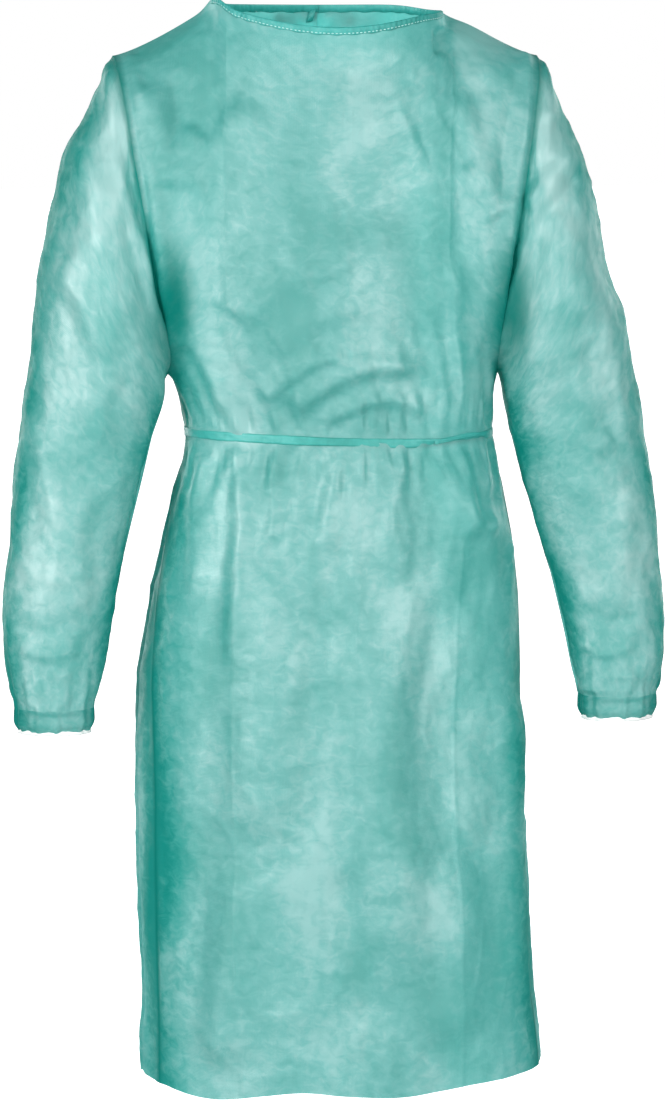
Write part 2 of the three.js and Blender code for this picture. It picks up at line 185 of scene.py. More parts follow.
# %% The shape of the body
ARMPIT_Z = -0.352
WAIST_Z = -0.438
HEM_Z = -1.112
BODY_ROWS = np.array([
    (-0.352, 0.171, 0.112, 0.104), (-0.395, 0.166, 0.105, 0.098),
    (-0.426, 0.161, 0.0985, 0.0925), (-0.438, 0.159, 0.097, 0.091),
    (-0.450, 0.161, 0.0985, 0.0925), (-0.490, 0.173, 0.110, 0.104),
    (-0.545, 0.184, 0.120, 0.113), (-0.610, 0.194, 0.129, 0.121),
    (-0.690, 0.202, 0.137, 0.128), (-0.780, 0.207, 0.143, 0.134),
    (-0.880, 0.209, 0.147, 0.138), (-0.990, 0.210, 0.150, 0.141),
    (-1.112, 0.212, 0.152, 0.142),
])
SHOULDER_POINT = np.array([0.222, 0.0, -0.046])
NECK_CORNER = np.array([0.120, 0.005, 0.006])
BACK_GAP = 0.015
ARMHOLE_DEPTH = 0.072
ARMHOLE_FOOT_X = 0.172
FOLD = 0.45


def body_size(z):
    heights = BODY_ROWS[::-1, 0]
    return [np.interp(z, heights, BODY_ROWS[::-1, k]) for k in (1, 2, 3)]


def body_point(angle, z, stand_off=0.0):
    """Round the wearer's right half: 0 at the side, + to the back, - to the front."""
    angle, z = np.broadcast_arrays(np.asarray(angle, float), np.asarray(z, float))
    width, front, back = body_size(z)
    depth = np.where(angle < 0, front, back)
    return np.stack([-(width + stand_off) * np.cos(angle),
                     (depth + stand_off) * np.sin(angle), z], axis=-1)


def armhole_point(w, face, shrink=0.0):
    """Round the armhole from the shoulder, 0, to the armpit, 1. face is -1 in front."""
    turn = np.pi * np.asarray(w, float)
    middle = np.array([-(SHOULDER_POINT[0] + ARMHOLE_FOOT_X) / 2, 0,
                       (SHOULDER_POINT[2] + ARMPIT_Z) / 2])
    up = np.array([-SHOULDER_POINT[0], 0, SHOULDER_POINT[2]]) - middle
    reach = 1 - shrink / np.linalg.norm(up)
    point = middle + np.cos(turn)[..., None] * up * reach
    point[..., 1] += face * (ARMHOLE_DEPTH - shrink) * np.sin(turn)
    return point


def shoulder_line(t):
    t = np.asarray(t, float)
    x = -(SHOULDER_POINT[0] + (NECK_CORNER[0] - SHOULDER_POINT[0]) * t)
    y = SHOULDER_POINT[1] + (NECK_CORNER[1] - SHOULDER_POINT[1]) * t
    z = SHOULDER_POINT[2] + (NECK_CORNER[2] - SHOULDER_POINT[2]) * t**1.3
    return np.stack([x, y, z], axis=-1)


def neckline(turn, face):
    depth, low = (0.088, -0.018) if face < 0 else (0.062, 0.005)
    turn = np.asarray(turn, float)
    x = -NECK_CORNER[0] * np.cos(turn)
    y = NECK_CORNER[1] + face * (depth + face * NECK_CORNER[1]) * np.sin(turn)
    z = NECK_CORNER[2] + (low - NECK_CORNER[2]) * np.sin(turn) ** 2
    return np.stack([x, y, z], axis=-1)


def upper_patch(top, foot, near, far, w, swell):
    """Cloth between a top edge, a foot edge and two side edges."""
    u = np.linspace(0, 1, len(top))
    rise = top[None] * (1 - w[:, None, None]) + foot[None] * w[:, None, None]
    by_near = (1 - smoothstep(u / 0.5))[None, :, None]
    by_far = smoothstep((u - 0.5) / 0.5)[None, :, None]
    rise = rise + (near - rise[:, 0])[:, None] * by_near + (far - rise[:, -1])[:, None] * by_far
    rise[..., 1] += swell * np.sin(np.pi * w)[:, None] * np.sin(np.pi * u)[None]
    return rise


def other_side(points):
    return points * np.array([-1.0, 1.0, 1.0])


# %% [markdown]
# Folds are ridges laid along smooth curves. They are placed as someone standing in front of the
# gown sees them: metres to the right of the middle, and metres below the shoulders. A ridge can be
# steeper on one side, as a real fold is when the cloth leans on it.

# %% Folds
def seen(points):
    """Where each point shows to someone at the camera's place."""
    turn = VIEW_TURN
    right = points[..., 0] * math.cos(turn) + points[..., 1] * math.sin(turn)
    away = points[..., 1] * math.cos(turn) - points[..., 0] * math.sin(turn)
    grow = VIEW_FAR / (VIEW_FAR + away)
    return np.stack([right * grow, points[..., 2] * grow], axis=-1)


def ridge(places, path, height, width, lean=1.0, sharp=2.0, ends=0.18):
    """A fold along a path. lean over 1 makes the right of the path the gentler side."""
    line = curve_through(path, 26)
    best = np.full(places.shape[:2], 1e9)
    side = np.zeros(places.shape[:2])
    along = np.zeros(places.shape[:2])
    for k in range(len(line) - 1):
        a, b = line[k], line[k + 1]
        step = b - a
        t = np.clip(((places - a) @ step) / (step @ step), 0, 1)
        gap = places - a - t[..., None] * step
        d = np.hypot(gap[..., 0], gap[..., 1])
        near = d < best
        best = np.where(near, d, best)
        side = np.where(near, step[0] * gap[..., 1] - step[1] * gap[..., 0], side)
        along = np.where(near, (k + t) / (len(line) - 1), along)
    reach = np.where(side > 0, width * lean, width)
    fade = smoothstep(along / ends) * smoothstep((1 - along) / ends)
    return height * np.exp(-(best / reach) ** sharp) * fade


def crumple(points, size, seed, octaves=3):
    """Soft random dents, about -1 to 1."""
    shift = Vector((seed * 13.7, seed * 5.3, seed * 9.1))
    flat = points.reshape(-1, 3) / size
    values = [noise.fractal(Vector(p) + shift, 0.9, 2.1, octaves) for p in flat.tolist()]
    return np.array(values).reshape(points.shape[:2])


def creases(points, size, seed):
    """Random sharp creases, 0 to about 1, as in cloth that was packed tight."""
    shift = Vector((seed * 3.1, seed * 11.9, seed * 7.7))
    flat = points.reshape(-1, 3) / size
    values = [1 - abs(noise.noise(Vector(p) + shift)) * 2.2 for p in flat.tolist()]
    return np.clip(np.array(values).reshape(points.shape[:2]), 0, 1) ** 3


def belt_gathers(across, z, seed, strength=1.0):
    """Cloth drawn in by the belt: close pleats at the waist that run together away from it."""
    rng = np.random.default_rng(seed)
    drop = np.abs(z - WAIST_Z)
    total = np.zeros(np.broadcast(across, z).shape)
    for period, height, reach in ((0.011, 0.0010, 0.022), (0.019, 0.0020, 0.045),
                                  (0.034, 0.0030, 0.085), (0.060, 0.0034, 0.150)):
        for _ in range(2):
            stretch = rng.uniform(0.8, 1.25)
            bend = rng.uniform(-0.4, 0.4)
            wave = np.sin(2 * np.pi * (across + bend * drop) / (period * stretch)
                          + rng.uniform(0, 6.28) + 1.6 * np.sin(across / 0.05 + rng.uniform(0, 6)))
            total = total + 0.6 * height * wave * np.exp(-drop / reach)
    return total * strength * (0.25 + 0.75 * smoothstep(drop / 0.012))


def packing_lines(points, height=0.0008, width=0.003):
    """The flat folds left from the packet: a grid of long straight creases."""
    places = seen(points)
    total = np.zeros(places.shape[:2])
    for x in (-0.103, 0.024, 0.131):
        total += height * np.exp(-np.abs(places[..., 0] - x) / width)
    for z in (-0.258, -0.563, -0.860):
        total += 0.8 * height * np.exp(-np.abs(points[..., 2] - z) / width)
    return total


def apply_folds(points, height):
    """Move a grid along its normals."""
    return points + normals_of(points) * height[..., None]


# %% [markdown]
# The front hangs from the shoulder seams and the bound neck. Above the belt its spare width is
# dragged into arcs that start at the belt and sweep up over the chest; below the belt it falls in
# long soft folds. The edges are left where the seams are, so that the pieces meet.

# %% Front panel
UPPER_ROWS, LOWER_ROWS = 90, 176
FRONT_COLUMNS = 230
upper_w = np.linspace(0, 1, UPPER_ROWS)
lower_z = np.linspace(ARMPIT_Z, HEM_Z, LOWER_ROWS)[1:]


def seam_turn(z):
    """The side seams swing forward below the belt, as the skirt's front is cut narrower."""
    return 0.37 * smoothstep((WAIST_Z - z) / 0.40)


def front_top(u):
    half = np.minimum(u, 1 - u)
    on_shoulder = shoulder_line(np.clip(half / 0.22, 0, 1))
    on_neck = neckline(np.clip((half - 0.22) / 0.56, 0, 1) * np.pi, -1)
    top = np.where((half <= 0.22)[:, None], on_shoulder, on_neck)
    return np.where((u > 0.5)[:, None], other_side(top), top)


def front_row(u, z):
    half = np.minimum(u, 1 - u)
    start = seam_turn(z)
    row = body_point(-(start + (np.pi / 2 - start) * 2 * half), z)
    return np.where((u > 0.5)[..., None], other_side(row), row)


def front_shape():
    u = np.linspace(0, 1, FRONT_COLUMNS)
    near = armhole_point(upper_w, -1)
    upper = upper_patch(front_top(u), front_row(u, ARMPIT_Z), near, other_side(near),
                        upper_w, -0.010)
    lower = np.stack([front_row(u, z) for z in lower_z])
    points = np.vstack([upper, lower])
    sides = points[:, [0, -1]].copy()
    points = settle(points, 60)
    points[:, [0, -1]] = sides
    return points


FRONT_FOLDS = [
    # path as seen, height, width
    ([(-0.095, -0.328), (-0.074, -0.303), (-0.038, -0.284), (0.008, -0.260), (0.044, -0.236)],
     0.0036, 0.018),
    ([(-0.066, -0.363), (-0.024, -0.327), (0.018, -0.306), (0.066, -0.300)], 0.0026, 0.017),
    ([(-0.076, -0.411), (-0.050, -0.384), (-0.013, -0.363), (0.018, -0.358)], 0.0046, 0.008),
    ([(-0.050, -0.421), (-0.024, -0.400), (0.013, -0.379), (0.050, -0.369), (0.102, -0.372)],
     0.0056, 0.009),
    ([(-0.024, -0.430), (0.008, -0.416), (0.039, -0.405), (0.071, -0.407), (0.097, -0.421)],
     0.0042, 0.007),
    ([(-0.150, -0.330), (-0.128, -0.370), (-0.118, -0.425)], 0.0030, 0.010),
    ([(-0.192, -0.075), (-0.171, -0.122), (-0.165, -0.159)], 0.0044, 0.010),
    ([(-0.129, -0.117), (-0.155, -0.153), (-0.165, -0.185)], 0.0044, 0.012),
    ([(-0.071, -0.090), (-0.118, -0.148), (-0.150, -0.185)], 0.0044, 0.016),
    ([(-0.160, -0.060), (-0.150, -0.110), (-0.160, -0.165)], -0.0030, 0.010),
    ([(0.207, -0.054), (0.197, -0.101), (0.192, -0.159), (0.186, -0.206)], -0.0034, 0.010),
    ([(0.139, -0.159), (0.168, -0.195), (0.182, -0.216)], 0.0044, 0.014),
    ([(0.129, -0.080), (0.160, -0.143), (0.178, -0.195)], 0.0036, 0.012),
    ([(0.117, -0.012), (0.118, -0.030), (0.119, -0.046)], -0.0050, 0.005),
    ([(0.160, -0.060), (0.168, -0.130), (0.160, -0.230)], -0.0030, 0.016),
    ([(-0.020, -0.090), (0.060, -0.130), (0.100, -0.120)], 0.0024, 0.030),
    ([(0.134, -0.250), (0.134, -0.330), (0.131, -0.414)], 0.0034, 0.008),
    ([(0.092, -0.460), (0.120, -0.510), (0.142, -0.536), (0.174, -0.536)], 0.0060, 0.010),
    ([(0.123, -0.452), (0.130, -0.500), (0.134, -0.560)], 0.0042, 0.008),
    ([(0.004, -0.450), (-0.006, -0.498), (-0.011, -0.573)], 0.0042, 0.009),
    ([(-0.103, -0.450), (-0.106, -0.573), (-0.105, -0.700)], 0.0040, 0.009),
    ([(-0.074, -0.452), (-0.068, -0.510), (-0.070, -0.560)], 0.0032, 0.007),
    ([(0.060, -0.452), (0.052, -0.520), (0.056, -0.600)], 0.0036, 0.012),
    ([(-0.140, -0.452), (-0.150, -0.520), (-0.152, -0.620)], 0.0036, 0.010),
    ([(-0.071, -0.560), (-0.078, -0.720), (-0.074, -0.888)], 0.0075, 0.030),
    ([(-0.097, -0.900), (-0.113, -1.014), (-0.129, -1.120)], 0.0070, 0.022),
    ([(0.041, -0.640), (0.055, -0.773), (0.062, -0.888), (0.055, -1.060)], 0.0075, 0.024),
    ([(0.004, -0.900), (0.029, -0.989), (0.041, -1.090)], -0.0040, 0.018),
    ([(0.181, -0.700), (0.192, -0.804), (0.186, -0.930), (0.197, -1.080)], 0.0065, 0.016),
    ([(0.113, -0.600), (0.097, -0.741), (0.092, -0.857)], -0.0036, 0.022),
    ([(-0.020, -0.600), (-0.016, -0.750), (-0.030, -0.900)], -0.0045, 0.022),
    ([(0.120, -0.880), (0.128, -0.990), (0.118, -1.100)], 0.0050, 0.018),
]


def folded(points, folds, seed, gathers=1.0, rough=1.0):
    """Lay the folds, belt gathers, packing creases and random dents on a body panel."""
    places = seen(points)
    height = np.zeros(points.shape[:2])
    for path, tall, width in folds:
        height += 1.5 * ridge(places, path, tall, width, lean=1.5)
    z = points[..., 2]
    around = np.arctan2(points[..., 1], points[..., 0]) * 0.15
    height += 0.6 * belt_gathers(around, z, seed, gathers)
    skirt = smoothstep((WAIST_Z - z) / 0.35)
    height += 0.0020 * skirt * np.sin(around / 0.028 + 2.4 * np.sin(z / 0.31 + seed))
    height += rough * 0.0050 * crumple(points * np.array([1, 1, 0.7]), 0.130, seed)
    height += rough * 0.0012 * crumple(points, 0.040, seed + 6)
    height += rough * 0.0004 * crumple(points, 0.015, seed + 4)
    height += rough * 0.0009 * creases(points, 0.070, seed + 2)
    height += packing_lines(points)
    return height * (1 - 0.92 * np.exp(-((z - WAIST_Z) / 0.010) ** 2))


def armhole_puff(points, at=0.014, wide=0.009):
    """The cloth rolls up on each side of the armhole seam, most of all near the armpit."""
    tall = 0.0034 + 0.0050 * smoothstep((-0.17 - points[..., 2]) / 0.10)
    ring = armhole_point(np.linspace(0, 1, 60), -1)
    away = np.full(points.shape[:2], 1e9)
    mirrored_x = np.abs(points[..., 0])
    for x, y, z in ring:
        gap = (mirrored_x + x) ** 2 + (np.abs(points[..., 1]) + y) ** 2 + (points[..., 2] - z) ** 2
        away = np.minimum(away, gap)
    return tall * np.exp(-((np.sqrt(away) - at) / wide) ** 2)


def hold_edges(height, top, sides, bottom=0):
    """Fade folds out over the first few rows and columns, where a seam holds the cloth."""
    rows, cols = height.shape
    i, j = np.arange(rows), np.arange(cols)
    fade = smoothstep(i / top)[:, None] * smoothstep(np.minimum(j, cols - 1 - j) / sides)[None]
    if bottom:
        fade = fade * smoothstep((rows - 1 - i) / bottom)[:, None]
    return height * fade


front_base = front_shape()
front_height = folded(front_base, FRONT_FOLDS, 3) + armhole_puff(front_base)
front_height = hold_edges(front_height, 7, 7)
facing_front = -1 if normals_of(front_base)[..., 1].mean() >= 0 else 1
front_points = apply_folds(front_base, facing_front * front_height)
front_cloth = put_grid("front_cloth", front_points, uv_along(front_base),
                       lambda p: p * np.array([1, 1, 0]))
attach(front_cloth, "root")
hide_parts("front_panel")
FRONT_WIDE = float(np.ptp(uv_along(front_base)[0, :, 0]))
print("front", front_points.shape, "tallest fold", round(float(front_height.max()), 4))

# %% [markdown]
# Each back panel runs from the side seam to the edge at the middle of the back. It is one sheet.

# %% Back panels
BACK_COLUMNS = 120
SIDES = (("right", 1.0), ("left", -1.0))


def mirrored(points, side):
    return points * np.array([side, 1.0, 1.0])


def back_top(u):
    on_shoulder = shoulder_line(np.clip(u / FOLD, 0, 1))
    last = math.acos(BACK_GAP / NECK_CORNER[0])
    on_neck = neckline(np.clip((u - FOLD) / (1 - FOLD), 0, 1) * last, 1)
    return np.where((u <= FOLD)[:, None], on_shoulder, on_neck)


def back_row(u, z):
    start = -seam_turn(z)
    last = np.arccos(BACK_GAP / body_size(z)[0])
    return body_point(start + (last - start) * u, z)


def back_shape(u):
    top, foot = back_top(u), back_row(u, ARMPIT_Z)
    near = armhole_point(upper_w, 1)
    edge = top[-1] + (foot[-1] - top[-1]) * upper_w[:, None]
    edge[:, 1] = top[-1, 1] + (foot[-1, 1] - top[-1, 1]) * np.sin(upper_w * np.pi / 2)
    upper = upper_patch(top, foot, near, edge, upper_w, 0.008)
    points = np.vstack([upper, np.stack([back_row(u, z) for z in lower_z])])
    sides = points[:, [0, -1]].copy()
    points = settle(points, 60)
    points[:, [0, -1]] = sides
    return points


BACK_FOLDS = [
    # the same way, but as seen in a mirror behind: path (x, z), height, width
    ([(-0.190, -0.090), (-0.160, -0.150), (-0.150, -0.230)], 0.0040, 0.014),
    ([(-0.120, -0.040), (-0.110, -0.120), (-0.130, -0.230)], 0.0038, 0.016),
    ([(-0.060, -0.030), (-0.070, -0.140), (-0.062, -0.260)], 0.0032, 0.018),
    ([(-0.050, -0.425), (-0.080, -0.380), (-0.120, -0.350)], 0.0046, 0.010),
    ([(-0.075, -0.428), (-0.110, -0.400), (-0.148, -0.385)], 0.0040, 0.008),
    ([(-0.030, -0.420), (-0.038, -0.350), (-0.034, -0.280)], 0.0036, 0.011),
    ([(-0.100, -0.452), (-0.116, -0.560), (-0.122, -0.720)], 0.0064, 0.018),
    ([(-0.050, -0.452), (-0.062, -0.580), (-0.066, -0.760)], 0.0060, 0.020),
    ([(-0.150, -0.455), (-0.172, -0.600), (-0.180, -0.800)], 0.0056, 0.018),
    ([(-0.090, -0.760), (-0.094, -0.930), (-0.100, -1.120)], 0.0070, 0.024),
    ([(-0.036, -0.820), (-0.040, -0.950), (-0.034, -1.120)], 0.0050, 0.018),
]


def back_height(points, seed):
    """Folds on the back, placed by x and z, with a soft sway in the free back edge."""
    places = points[..., [0, 2]]
    height = np.zeros(points.shape[:2])
    rng = np.random.default_rng(seed)
    for path, tall, width in BACK_FOLDS:
        shift = rng.normal(0, 0.006, 2)
        moved = [(x + shift[0], z + shift[1]) for x, z in path]
        ridge_here = ridge(places, moved, tall * rng.uniform(0.7, 1.2), width, lean=1.4)
        height += ridge_here * (points[..., 1] > 0.01)
    return height + folded(points, [], seed)


def flap_blend(piece):
    """Bake a piece's placement into its mesh."""
    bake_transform(piece)


def draw_in(points):
    """The neck tie draws the two back edges nearly together at the neck."""
    near_edge = smoothstep((points[..., 0] + 0.075) / 0.060)
    near_neck = 1 - smoothstep((-0.030 - points[..., 2]) / 0.11)
    moved = points.copy()
    moved[..., 0] += 0.0158 * near_edge * near_neck
    return moved


u_back = np.linspace(0, 1, BACK_COLUMNS)
back_base = back_shape(u_back)
back_cloths = {}
for name, side in SIDES:
    base = mirrored(back_base, side)
    seed = 11 if side > 0 else 17
    height = hold_edges(back_height(back_base, seed) + armhole_puff(back_base), 7, 7)
    n = normals_of(back_base)
    if (n * back_base * np.array([1, 1, 0])).sum() < 0:
        n = -n
    points = mirrored(draw_in(back_base + n * height[..., None]), side)
    points[..., 1] += 0.0016 * (side < 0) * smoothstep((back_base[..., 0] + 0.05) / 0.03)
    panel = put_grid(f"back_cloth_{name}", points, uv_along(base),
                     lambda p: p * np.array([1, 1, 0]))
    flap_blend(panel)
    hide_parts(f"back_side_{name}", f"back_flap_{name}")
    back_cloths[name] = panel
BACK_WIDE = float(np.ptp(uv_along(back_base)[0, :, 0]))
print("back panels", back_base.shape)

# %% [markdown]
# A sleeve is a tube sewn along the underarm. It leaves the armhole, hangs forward a little with
# the arm, stays loose to the wrist, and is drawn in by the cuff's elastic. The pleats that the
# elastic makes die out about a hand's width above the cuff.

# %% Sleeves
SLEEVE_OUTER = [
    (0.222, -0.046), (0.244, -0.095), (0.273, -0.155), (0.292, -0.230), (0.307, -0.310),
    (0.320, -0.390), (0.333, -0.470), (0.342, -0.556), (0.349, -0.640), (0.345, -0.688),
    (0.338, -0.713),
]
SLEEVE_INNER = [
    (0.172, -0.352), (0.176, -0.364), (0.178, -0.378), (0.180, -0.398), (0.186, -0.426),
    (0.195, -0.461), (0.207, -0.505), (0.224, -0.570), (0.240, -0.640), (0.249, -0.688),
    (0.256, -0.713),
]
CUFF_CENTRE = np.array([-0.297, -0.056, -0.737])
CUFF_HALF = (0.041, 0.031)
SLEEVE_RINGS, SLEEVE_COLUMNS = 230, 150


def cuff_pleats(turn, above):
    """Pleats round the cuff, for a height above the elastic's lower edge."""
    wave = (np.sin(11 * turn + 0.7) + 0.6 * np.sin(17 * turn + 2.1)
            + 0.4 * np.sin(26 * turn + 4.0) + 0.8 * np.sin(5 * turn + 1.0))
    return 0.0008 * wave * np.exp(-((above - 0.008) / 0.050) ** 2)


def sleeve_shape():
    """Rings from the armhole to the cuff, on the wearer's right, and each ring's share."""
    outer = curve_through(SLEEVE_OUTER, SLEEVE_RINGS)
    inner = curve_through(SLEEVE_INNER, SLEEVE_RINGS)
    k = np.linspace(0, 10, SLEEVE_RINGS)
    turn = np.linspace(0, 2 * np.pi, SLEEVE_COLUMNS + 1)
    out3 = np.stack([-outer[:, 0], 0 * k, outer[:, 1]], axis=1)
    in3 = np.stack([-inner[:, 0], 0 * k, inner[:, 1]], axis=1)
    middle, half = (out3 + in3) / 2, (out3 - in3) / 2
    settled = smoothstep(k / 4)
    depth = ARMHOLE_DEPTH + (np.linalg.norm(half, axis=1) * 0.82 - ARMHOLE_DEPTH) * settled
    rings = middle[:, None] + half[:, None] * np.cos(turn)[None, :, None]
    rings[..., 1] += depth[:, None] * np.sin(turn)[None] + (CUFF_CENTRE[1] * k / 10)[:, None]
    return rings, turn, k


SLEEVE_FOLDS = {
    "right": [
        ([(-0.286, -0.258), (-0.255, -0.300), (-0.234, -0.363)], 0.0046, 0.012),
        ([(-0.213, -0.290), (-0.234, -0.384), (-0.249, -0.458)], 0.0044, 0.012),
        ([(-0.307, -0.426), (-0.286, -0.531), (-0.291, -0.615)], 0.0046, 0.014),
        ([(-0.262, -0.120), (-0.240, -0.190), (-0.232, -0.270)], 0.0044, 0.014),
        ([(-0.215, -0.110), (-0.200, -0.170), (-0.196, -0.240)], -0.0046, 0.010),
        ([(-0.300, -0.200), (-0.292, -0.300), (-0.300, -0.400)], 0.0034, 0.012),
        ([(-0.250, -0.480), (-0.268, -0.560), (-0.262, -0.640)], 0.0038, 0.012),
        ([(-0.330, -0.668), (-0.300, -0.676), (-0.262, -0.668)], 0.0030, 0.007),
        ([(-0.336, -0.640), (-0.310, -0.652), (-0.270, -0.640)], -0.0022, 0.007),
        ([(-0.322, -0.700), (-0.318, -0.725), (-0.320, -0.745)], 0.0030, 0.005),
        ([(-0.285, -0.690), (-0.282, -0.715), (-0.284, -0.745)], 0.0030, 0.005),
    ],
    "left": [
        ([(0.218, -0.175), (0.249, -0.258), (0.270, -0.332)], 0.0044, 0.014),
        ([(0.262, -0.140), (0.235, -0.175), (0.207, -0.206)], 0.0054, 0.010),
        ([(0.270, -0.165), (0.240, -0.205), (0.206, -0.245)], -0.0040, 0.009),
        ([(0.281, -0.279), (0.302, -0.363), (0.318, -0.447)], 0.0050, 0.016),
        ([(0.236, -0.320), (0.262, -0.420), (0.268, -0.530)], 0.0040, 0.014),
        ([(0.250, -0.420), (0.275, -0.455), (0.300, -0.440)], 0.0034, 0.010),
        ([(0.318, -0.480), (0.300, -0.560), (0.306, -0.640)], 0.0040, 0.013),
        ([(0.255, -0.657), (0.291, -0.673), (0.323, -0.663)], 0.0036, 0.007),
        ([(0.262, -0.628), (0.296, -0.640), (0.332, -0.632)], -0.0024, 0.007),
        ([(0.262, -0.700), (0.280, -0.720), (0.290, -0.745)], 0.0034, 0.006),
        ([(0.320, -0.690), (0.316, -0.715), (0.318, -0.745)], 0.0030, 0.005),
    ],
}
ARMHOLE_MIDDLE = np.array([-0.197, 0.0, -0.199])


def sleeve_blend(piece):
    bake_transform(piece)


sleeve_base, sleeve_turn, sleeve_k = sleeve_shape()
for name, side in SIDES:
    base = mirrored(sleeve_base, side)
    places = seen(base)
    facing = smoothstep(0.5 - np.sin(sleeve_turn) * 2)[None]
    height = np.zeros(base.shape[:2])
    for path, tall, width in SLEEVE_FOLDS[name]:
        height += ridge(places, path, tall, width, lean=1.5) * facing
    seed = 23 if side > 0 else 29
    height += 0.0044 * crumple(base * np.array([1, 1, 0.7]), 0.100, seed)
    height += 0.0014 * crumple(base, 0.036, seed + 3)
    height += 0.0004 * crumple(base, 0.014, seed + 1)
    height += 0.0010 * creases(base, 0.060, seed + 2)
    height += armhole_puff(base)
    height *= smoothstep(np.arange(SLEEVE_RINGS) / 5)[:, None]
    height *= 1 - smoothstep((np.arange(SLEEVE_RINGS) - SLEEVE_RINGS + 9) / 8)[:, None]
    above = base[..., 2] - CUFF_CENTRE[2]
    height += cuff_pleats(sleeve_turn[None], above) * smoothstep((sleeve_k[:, None] - 6) / 2)
    n = normals_of(base)
    middle = base[:, :-1].mean(axis=1, keepdims=True)
    if (n * (base - middle)).sum() < 0:
        n = -n
    n[:, -1] = n[:, 0]
    height[:, -1] = height[:, 0]
    points = base + n * height[..., None]
    uv = uv_along(base)
    sleeve = put_grid(f"sleeve_cloth_{name}", points, uv,
                      lambda p: p - p.mean(axis=1, keepdims=True))
    join_edges(sleeve)
    sleeve_blend(sleeve)
    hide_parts(f"sleeve_{name}")
SLEEVE_WIDE = float(np.ptp(uv_along(sleeve_base)[0, :, 0]))
print("sleeves", sleeve_base.shape)

# %% [markdown]
# The cuff is the sleeve's own end, turned up over a ring of flat elastic and sewn. It carries the
# same pleats as the sleeve, so the two meet without a step, and its lower edge is scalloped where
# the cloth bunches. The elastic shows as a pale line just inside.

# %% Cuffs
CASING_RINGS = 26


def cuff_ring(turn, above, inset=0.0, pleated=1.0):
    """A ring of points round the wearer's right wrist."""
    x = CUFF_CENTRE[0] - (CUFF_HALF[0] - inset) * np.cos(turn)
    y = CUFF_CENTRE[1] + (CUFF_HALF[1] - inset) * np.sin(turn)
    out = np.stack([-np.cos(turn) * CUFF_HALF[1], np.sin(turn) * CUFF_HALF[0], 0 * turn], axis=1)
    out /= np.linalg.norm(out, axis=1, keepdims=True)
    ring = np.stack([x, y, np.full_like(turn, CUFF_CENTRE[2] + above)], axis=1)
    return ring + out * (cuff_pleats(turn, above) * pleated)[:, None]


def casing_grid():
    """Down the outside of the casing, round its lower edge and up the inside."""
    turn = sleeve_turn
    rings = []
    for t in np.linspace(0, 1, CASING_RINGS):
        above = 0.024 * (1 - t) + 0.0012 * t
        pinch = 0.0002 * np.exp(-((t - 0.35) / 0.16) ** 2)
        tuck = 0.0040 * max(0.0, t - 0.55) ** 2 / 0.2
        rings.append(cuff_ring(turn, above, inset=pinch + tuck - 0.0006))
    scallop = 0.0009 * np.sin(11 * turn + 2.0)
    for t in np.linspace(0.2, 1, 5):
        ring = cuff_ring(turn, 0.0012, inset=0.0035 + 0.0020 * (1 - math.cos(math.pi * t)) / 2)
        ring[:, 2] -= 0.0014 * math.sin(math.pi * t)
        rings.append(ring)
    for t in np.linspace(0.1, 1, 12):
        rings.append(cuff_ring(turn, 0.0012 + 0.021 * t, inset=0.0056, pleated=0.8))
    grid = np.stack(rings)
    grid[..., 2] += scallop[None] * np.linspace(0, 1, len(rings))[:, None] ** 0.5
    meet = (1 - smoothstep(np.arange(len(rings)) / 8))[:, None]
    return grid + sleeve_end()[None] * meet[..., None]


def sleeve_end():
    """How far the casing's top has to move to meet the sleeve's last ring."""
    n = normals_of(sleeve_base)
    middle = sleeve_base[:, :-1].mean(axis=1, keepdims=True)
    if (n * (sleeve_base - middle)).sum() < 0:
        n = -n
    n[:, -1] = n[:, 0]
    pleats = cuff_pleats(sleeve_turn, sleeve_base[-1, :, 2] - CUFF_CENTRE[2])
    last = sleeve_base[-1] + n[-1] * pleats[:, None]
    return last - cuff_ring(sleeve_turn, 0.024, inset=-0.0006)


casing_base = casing_grid()
for name, side in SIDES:
    points = mirrored(casing_base, side)
    casing = put_grid(f"cuff_{name}", points, uv_along(points),
                      lambda p: (p - p.mean(axis=1, keepdims=True)) * np.array([1, 1, 0]))
    join_edges(casing)
    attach(casing, f"arm_{name}")
    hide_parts(f"cuff_casing_{name}")

    turn = np.linspace(0, 2 * np.pi, 121)
    rings = [cuff_ring(turn, above, inset=inset, pleated=0.6) for above, inset in
             ((-0.0030, 0.0040), (-0.0026, 0.0030), (0.001, 0.0036), (0.012, 0.0042),
              (0.0125, 0.0045), (0.012, 0.0050), (0.004, 0.0050), (-0.0026, 0.0048),
              (-0.0030, 0.0040))]
    points = mirrored(np.stack(rings), side)
    elastic = put_grid(f"elastic_{name}", points, uv_along(points))
    join_edges(elastic)
    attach(elastic, f"arm_{name}")
    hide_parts(f"cuff_elastic_{name}")
CUFF_WIDE = float(np.ptp(uv_along(casing_base)[0, :, 0]))
print("cuffs", casing_base.shape)

# %% [markdown]
# Tapes and strips are folded flat: the neck binding, the belt and the ties. One helper carries a
# flattened section along a path. Its two faces are a little uneven, as folded cloth is.

# %% Tapes
TAPE_SECTION = [(-0.50, 0.0), (-0.46, 0.42), (-0.30, 0.50), (-0.08, 0.40), (0.12, 0.52),
                (0.34, 0.42), (0.47, 0.36), (0.50, 0.0), (0.46, -0.40), (0.20, -0.46),
                (0.0, -0.40), (-0.24, -0.48), (-0.46, -0.40), (-0.50, 0.0)]


def columns_at(values, at, along):
    """Three columns of values, read off at other places along them."""
    return np.stack([np.interp(at, along, values[:, k]) for k in range(3)], axis=1)


def unit(v):
    return v / np.maximum(np.linalg.norm(v, axis=-1, keepdims=True), 1e-12)


